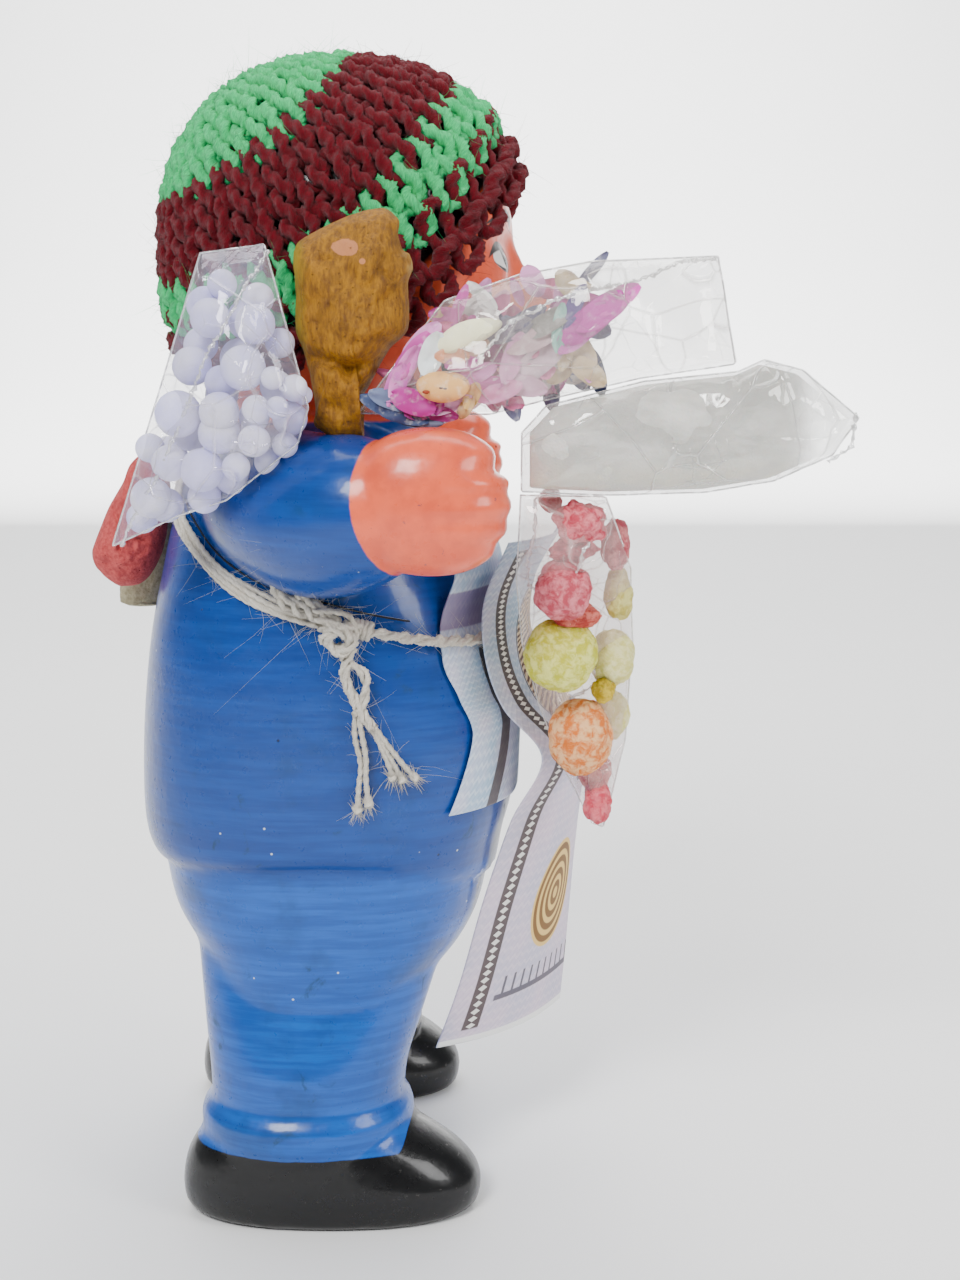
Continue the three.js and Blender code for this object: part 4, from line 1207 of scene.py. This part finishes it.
# The seals and seam beads are painted near white: the milky sealed film, and painted highlight for the glints along the
# edges and seams
seamGlintPaint = Paint("film_seam_glint", Roughness=0.12, Specular_IOR_Level=1, Coat_Weight=1, Metallic=0.4)
seamGlintTone = seamGlintPaint.clouds(seamGlintPaint.place(), 0.9, 2)
seamGlintFinish = seamGlintPaint.done(Base_Color=tint(240, 240, 240), Alpha=seamGlintPaint.ease(seamGlintTone, 0.3, 0.7, 0.35, 0.9))
for index, (key, (tone, alpha)) in enumerate(filmFinishes.items()):
    finished(filmBag(key + "_film", bags[key]), filmPaint(key + "_bag_film", tone, alpha), "bag_of_" + key)
    edge = [rimOf(key + "_rim", bags[key], 0.16, index)]
    for line in seams[key]:
        edge.append(beaded(key + "_bead", [filmFront(bags[key], u, v) for u, v in line], 40 + index))
    finished(together(key + "_seal", edge), seamGlintFinish, "bag_of_" + key)
print("bags sealed")


def inside(bag, margin, dice):  # a random place within a bag, well clear of its film
    centre = np.mean(np.array(bag["outline"]), axis=0)
    turn, reach = dice.random(), math.sqrt(dice.random()) * (1 - margin)
    x, z = centre + (outlinePoint(bag, turn) - centre) * reach
    half = bag["swell"] * math.sqrt(max(0, 1 - reach * reach)) * (1 - margin) - 1
    return Vector((x, bag["side"](x, z) + dice.uniform(-1, 1) * max(half, 0), z)), reach


ballsSeen = [  # across and down in the photograph, size, depth behind the film
    (222, 284, 15, 2.4), (205, 305, 19, 3.4), (210, 318, 20, 0.2), (255, 324, 20, 0), (243, 368, 22.5, 0), (192, 366, 20, 2.6),
    (178, 414, 23.5, 0.2), (219, 412, 20, 0.4), (219, 433, 21, 1.6), (150, 448, 15, 1.6), (170, 463, 18.5, 0), (202, 470, 22, 0.2),
    (236, 467, 14, 0.3), (151, 498, 21, 0.4), (166, 505, 18, 1.6), (254, 441, 16, 0), (272, 378, 11.5, 0.4), (294, 388, 13.5, 0.6),
    (256, 409, 14, 0.3), (277, 408, 11.5, 0.2), (280, 343, 15, 3), (303, 395, 9.5, 2.6), (285, 445, 13, 2.4), (268, 462, 14, 2.8)]


def foamBalls():
    bag, dice = bags["balls"], random.Random(7)
    centre = np.mean(np.array(bag["outline"]), axis=0)
    spots, sizes = [], []
    def depthAt(x, z):  # half the bag's thickness where a ball lies
        best = 1
        for k in range(60):
            edge = outlinePoint(bag, k / 60) - centre
            away = np.array((x, z)) - centre
            size = np.linalg.norm(edge)
            if np.dot(edge, away) > 0.985 * size * (np.linalg.norm(away) + 1e-6):
                best = min(best, 1 - min(1, np.linalg.norm(away) / size))
        return bag["swell"] * math.sqrt(max(0, 1 - (1 - best) ** 2))
    for u, v, size, behind in ballsSeen:
        radius = size * 0.153
        x, z = viewed(u, v, -48)
        y = bag["side"](x, z) - max(0, depthAt(x, z) - radius * 0.9) + behind
        x, z = viewed(u, v, y)
        spots.append((x, y, z))
        sizes.append(radius)
    for attempt in range(2500):
        at, reach = inside(bag, 0.12, dice)
        size = dice.uniform(2.3, 3.4)
        if at.y < bag["side"](at.x, at.z) - 1 or at.z > 158:
            continue
        if (np.linalg.norm(np.array(spots) - np.array(at), axis=1) < 0.9 * (np.array(sizes) + size)).any():
            continue
        spots.append(tuple(at))
        sizes.append(size)
    balls = []
    for spot, size in zip(spots, sizes):
        clearSelection()
        bpy.ops.mesh.primitive_uv_sphere_add(segments=40, ring_count=24, radius=1)
        ball = bpy.context.object
        seed = Vector((spot[0], spot[2], 0))
        def place(co):
            dent = 1 + 0.018 * noise.noise(co * 1.4 + seed) + 0.005 * noise.noise(co * 6 + seed)
            return (Vector(spot) + co * size * dent) * mm
        balls.append(shaped(ball, place))
    return smooth(together("foam_balls", balls))


def foamPaint():
    paint = Paint("foam", Roughness=0.55, Specular_IOR_Level=0.35, Subsurface_Weight=0.4, Subsurface_Scale=0.003)
    paint.shader.inputs["Subsurface Radius"].default_value = (0.6, 0.6, 1)
    at = paint.place()
    tone = paint.clouds(at, 0.12, 2)
    beads = paint.cells(at, 1.3)
    colour = paint.mix(paint.ease(tone, 0.35, 0.65), tint(206, 204, 250), tint(232, 230, 252))
    return paint.done(Base_Color=colour, Normal=paint.bump(beads, 0.12 * mm, 0.5))


finished(foamBalls(), foamPaint(), "bag_of_balls")

# Paper bits, petals, a bean and a shell in the second bag: place in the photograph, depth, length,
# width, turn in degrees, colour
scraps = [
    (461, 363, -47.6, 3.2, 1.3, 10, (196, 60, 160)), (450, 352, -46.6, 4.4, 1.5, -60, (206, 96, 180)),
    (413, 402, -47.4, 4.6, 2.4, -20, (176, 40, 140)), (424, 408, -47, 4, 2.2, 14, (150, 34, 124)),
    (404, 372, -46.8, 5.6, 1.8, 62, (222, 130, 196)), (411, 358, -46.4, 6, 2, 55, (206, 84, 170)),
    (396, 385, -46.6, 4.4, 2, 70, (214, 112, 190)), (421, 344, -46, 5.4, 2.2, 48, (226, 150, 205)),
    (392, 400, -46.6, 4.8, 1.8, -18, (104, 116, 150)), (384, 407, -46.2, 5.2, 1.6, -24, (62, 78, 116)),
    (402, 414, -46.6, 5.4, 1.8, -14, (50, 62, 100)), (418, 419, -46.2, 5, 1.7, -8, (96, 100, 124)),
    (436, 413, -46.8, 4.4, 1.5, -10, (140, 40, 110)), (450, 405, -46.8, 4.6, 1.4, 20, (206, 150, 186)),
    (472, 396, -47.2, 2.8, 1.5, 66, (214, 172, 100)), (466, 407, -47, 2.6, 1.3, 60, (196, 160, 110)),
    (432, 354, -47.8, 4.4, 2.3, 70, (232, 240, 240)), (428, 372, -47.2, 3.6, 1.4, 78, (210, 220, 226)),
    (452, 356, -48, 3.4, 1.5, 0, (226, 158, 120)), (470, 350, -47, 4, 1.6, 24, (196, 150, 130)),
    (475, 375, -46.4, 4.6, 1.7, 24, (216, 122, 190)), (482, 385, -46, 4.8, 1.6, 8, (190, 66, 152)),
    (603, 310, -46.5, 6.4, 2.6, 35, (208, 60, 176)), (593, 318, -46.2, 7.4, 2.8, 40, (190, 50, 160)),
    (582, 328, -46, 6.6, 2.6, 44, (214, 110, 190)), (615, 300, -46.4, 5.6, 2, 30, (226, 90, 190)),
    (574, 306, -46.2, 4.8, 1.5, 64, (92, 70, 140)), (560, 328, -46.4, 4.8, 1.5, 84, (150, 206, 190)),
    (548, 322, -46, 5.4, 2, 30, (150, 146, 140)), (530, 340, -46, 5.6, 2.2, 20, (206, 170, 176)),
    (513, 358, -46, 5.2, 2, 70, (222, 156, 196)), (500, 392, -46, 4.6, 1.8, 20, (226, 140, 190)),
    (520, 385, -45.6, 5.4, 2.1, -10, (216, 170, 196)), (540, 360, -45.4, 6.4, 2.6, 40, (222, 190, 204)),
    (508, 330, -46.2, 5, 2.2, 20, (120, 110, 130)), (526, 318, -46, 4.4, 1.5, 30, (60, 56, 110))]


def scrap(x, y, z, long, wide, turn, bend, seed):
    clearSelection()
    bpy.ops.mesh.primitive_grid_add(x_subdivisions=12, y_subdivisions=6, size=2)
    petal = bpy.context.object
    cos, sin = math.cos(math.radians(turn)), math.sin(math.radians(turn))
    def place(co):
        width = wide * (1 - abs(co.x) ** 3 * 0.75)
        along, across = co.x * long / 1.0, co.y * width
        curl = bend * (co.x * co.x - 0.4) + 0.6 * noise.noise(Vector((co.x * 1.6 + seed, co.y * 1.4, seed)))
        lean = 0.35 * co.y * bend
        return Vector((x + along * cos - across * sin, y + curl + lean, z + along * sin + across * cos)) * mm
    return shaped(petal, place)


def confetti():
    dice = random.Random(12)
    pieces, colours = [], []
    def add(piece, colour):
        pieces.append(piece)
        colours.append((len(piece.data.vertices), tint(*colour)))
    for index, (u, v, y, long, wide, turn, colour) in enumerate(scraps):
        x, z = viewed(u, v, y)
        add(scrap(x, y, z, long * 0.8, wide * 0.8, turn, dice.uniform(-0.9, 0.9), index * 3.1), colour)
    shades = [(196, 84, 160), (222, 150, 200), (110, 110, 140), (214, 190, 150), (236, 232, 228), (60, 70, 110), (230, 120, 170)]
    for index in range(130):
        at, reach = inside(bags["confetti"], 0.1, dice)
        if at.x > 24:
            continue
        back = max(at.y, bags["confetti"]["side"](at.x, at.z) - 3.2)
        add(scrap(at.x, back, at.z, dice.uniform(2, 4), dice.uniform(0.8, 1.8), dice.uniform(0, 180), dice.uniform(-1, 1),
                  50 + index), dice.choice(shades))
    return pieces, colours, add


def beanAndShell(add):
    x, z = viewed(443, 387, -48)
    add(shaped(roundBall(48, 32), lambda co: Vector((x + 4.1 * co.x, -48.1 + 1.6 * co.y, z + 2.4 * co.z + 0.25 * co.x ** 2)) * mm),
        (236, 180, 108))
    for u, v, size, colour in ((426, 392, 0.42, (150, 60, 30)), (441, 388, 0.3, (70, 40, 30)), (445, 388.6, 0.28, (70, 40, 30))):
        sx, sz = viewed(u, v, -49.6)
        add(shaped(roundBall(12, 8), lambda co: Vector((sx + size * 1.4 * co.x, -49.5 + 0.3 * co.y, sz + size * 0.7 * co.z)) * mm),
            colour)
    x, z = viewed(470, 334, -47.6)
    def fold(co):
        ribs = 0.25 * math.cos(co.x * 9) * (1 - co.z * co.z)
        lift = 0.28 * co.x * 4.9
        return Vector((x + 4.9 * co.x + 0.6 * co.z, -47.4 + (1.5 + ribs) * co.y, z + 2.3 * co.z * (1 - 0.25 * co.x) + lift)) * mm
    add(shaped(roundBall(64, 32), fold), (250, 246, 204))


def confettiPaint():
    paint = Paint("confetti_colours", Roughness=0.55, Specular_IOR_Level=0.35)
    base = paint.node("ShaderNodeAttribute", {"attribute_name": "tint"}, {}, "Color")
    at = paint.place()
    grain = paint.clouds(at, 0.7, 3)
    colour = paint.mix(paint.ease(grain, 0.5, 0.75) * 0.3, base, tint(255, 250, 246))
    colour = paint.mix(paint.ease(paint.clouds(at, 0.3, 2), 0.55, 0.75) * 0.25, colour, tint(110, 60, 110))
    return paint.done(Base_Color=colour)


def coloured(name, pieces, colours):  # one mesh with every part's colour kept on its points
    whole = together(name, pieces)
    shade = whole.data.color_attributes.new(name="tint", type="FLOAT_COLOR", domain="POINT")
    values = np.concatenate([np.tile(colour, (count, 1)) for count, colour in colours])
    shade.data.foreach_set("color", values.reshape(-1))
    return smooth(whole)


bits, bitColours, addBit = confetti()
beanAndShell(addBit)
finished(coloured("confetti_bits", bits, bitColours), confettiPaint(), "bag_of_confetti")

# The sugar's own body, a little inside its film
def sugarBody():
    bag = dict(bags["sugar"], swell=5.6)
    def relief(at, half, reach):
        face = math.copysign(1, half)
        crumple1 = 0.9 * crumple(at, 31, 11) + 0.35 * crumple(at, 33, 4)
        inward = Vector((-(at.x - 37) * 0.05, 0, -(at.z - 137) * 0.06)) * reach
        return Vector((0, face * min(1, abs(half) / 4) * crumple1, 0)) + inward
    body = outwards(pillow(bag, 160, 90, relief))
    body.name = "sugar"
    shaped(body, lambda co: co * mm)
    return smooth(body)


def sugarPaint():
    paint = Paint("sugar_grains", Roughness=0.6, Specular_IOR_Level=0.4, Subsurface_Weight=0.3, Subsurface_Scale=0.004)
    at = paint.place()
    x, y, z = paint.split(at)
    grains = paint.cells(at, 2.2)
    drift = paint.clouds(paint.stretched(at, 0.5, 1, 1), 0.18, 4, 0.6)
    colour = paint.mix(paint.ease(drift, 0.35, 0.68), tint(196, 194, 186), tint(232, 230, 224))
    warm = paint.ease(z, 135, 129) * paint.ease(drift, 0.45, 0.6)
    colour = paint.mix(warm * 0.4, colour, tint(216, 206, 160))
    cover = paint.ease(x, 60, 52) * 0.85 + 0.05
    return paint.done(Base_Color=colour, Alpha=cover, Normal=paint.bump(grains, 0.25 * mm, 0.5))


finished(sugarBody(), sugarPaint(), "bag_of_sugar")

# The puffs: place in the photograph, depth, half width and height, roughness of form, two colours
puffs = [
    (551, 500, -37, 12, 12, 0.16, (150, 44, 60), (196, 92, 100)), (580, 522, -40.5, 26, 22, 0.2, (190, 62, 80), (232, 132, 140)),
    (573, 549, -37.5, 24, 14, 0.2, (150, 46, 66), (200, 90, 104)), (563, 590, -37, 31, 30, 0.1, (186, 70, 84), (226, 130, 140)),
    (575, 616, -34, 26, 14, 0.14, (176, 60, 52), (222, 120, 106)), (561, 655, -33.5, 39.5, 38.5, 0.05, (196, 194, 52), (232, 232, 128)),
    (580, 736, -28.5, 35, 41, 0.06, (222, 116, 40), (250, 196, 140)), (618, 594, -31, 15, 27, 0.12, (186, 172, 84), (216, 208, 130)),
    (612, 658, -27, 25, 30, 0.08, (214, 208, 122), (238, 232, 170)), (603, 690, -29.5, 13, 13, 0.16, (176, 148, 20), (216, 190, 60)),
    (598, 803, -25.5, 15, 24, 0.16, (204, 66, 84), (232, 120, 128)), (616, 545, -34, 15, 26, 0.14, (170, 66, 80), (214, 130, 130)),
    (596, 772, -22.5, 18, 22, 0.14, (206, 90, 92), (236, 150, 140)), (612, 714, -22, 20, 26, 0.1, (222, 214, 130), (240, 232, 176))]


def puffPieces():
    pieces, first, second = [], [], []
    for index, (u, v, y, wide, high, rough, dark, pale) in enumerate(puffs):
        x, z = viewed(u, v, y)
        size = Vector((wide * 0.158, (wide + high) * 0.07, high * 0.16))
        seed = Vector((index * 5.3, index * 1.7, 0))
        def place(co):
            lumps = 1 + rough * 1.5 * noise.noise(co * 1.3 + seed) + rough * 0.8 * noise.noise(co * 3.2 + seed)
            pits = 0.022 * noise.noise(co * 9 + seed)
            crackle = noise.voronoi(co * 2.6 + seed)[0]
            seam = 0.035 * math.exp(-((crackle[1] - crackle[0]) / 0.07) ** 2)
            reach = lumps + pits - seam
            return (Vector((x, y, z)) + Vector([c * s for c, s in zip(co, size)]) * reach) * mm
        pieces.append(shaped(roundBall(72, 48), place))
        first.append((len(pieces[-1].data.vertices), tint(*dark)))
        second.append(tint(*pale))
    whole = coloured("puffed_corn", pieces, first)
    shade = whole.data.color_attributes.new(name="pale", type="FLOAT_COLOR", domain="POINT")
    values = np.concatenate([np.tile(colour, (count, 1)) for (count, _), colour in zip(first, second)])
    shade.data.foreach_set("color", values.reshape(-1))
    return whole


def puffPaint():
    paint = Paint("puff_sugar", Roughness=0.7, Specular_IOR_Level=0.3, Subsurface_Weight=0.15, Subsurface_Scale=0.002)
    dark = paint.node("ShaderNodeAttribute", {"attribute_name": "tint"}, {}, "Color")
    pale = paint.node("ShaderNodeAttribute", {"attribute_name": "pale"}, {}, "Color")
    at = paint.place()
    flecks = paint.clouds(at, 0.62, 4, 0.65, 0.5)
    crumbs = paint.clouds(at, 1.9, 4, 0.7)
    colour = paint.mix(paint.ease(flecks, 0.38, 0.62), dark, pale)
    colour = paint.mix(paint.ease(crumbs, 0.62, 0.75) * 0.45, colour, tint(255, 244, 226))
    return paint.done(Base_Color=colour, Normal=paint.bump(crumbs + flecks * 0.6, 0.4 * mm, 0.9))


finished(puffPieces(), puffPaint(), "bag_of_puffs")
print("bags filled")
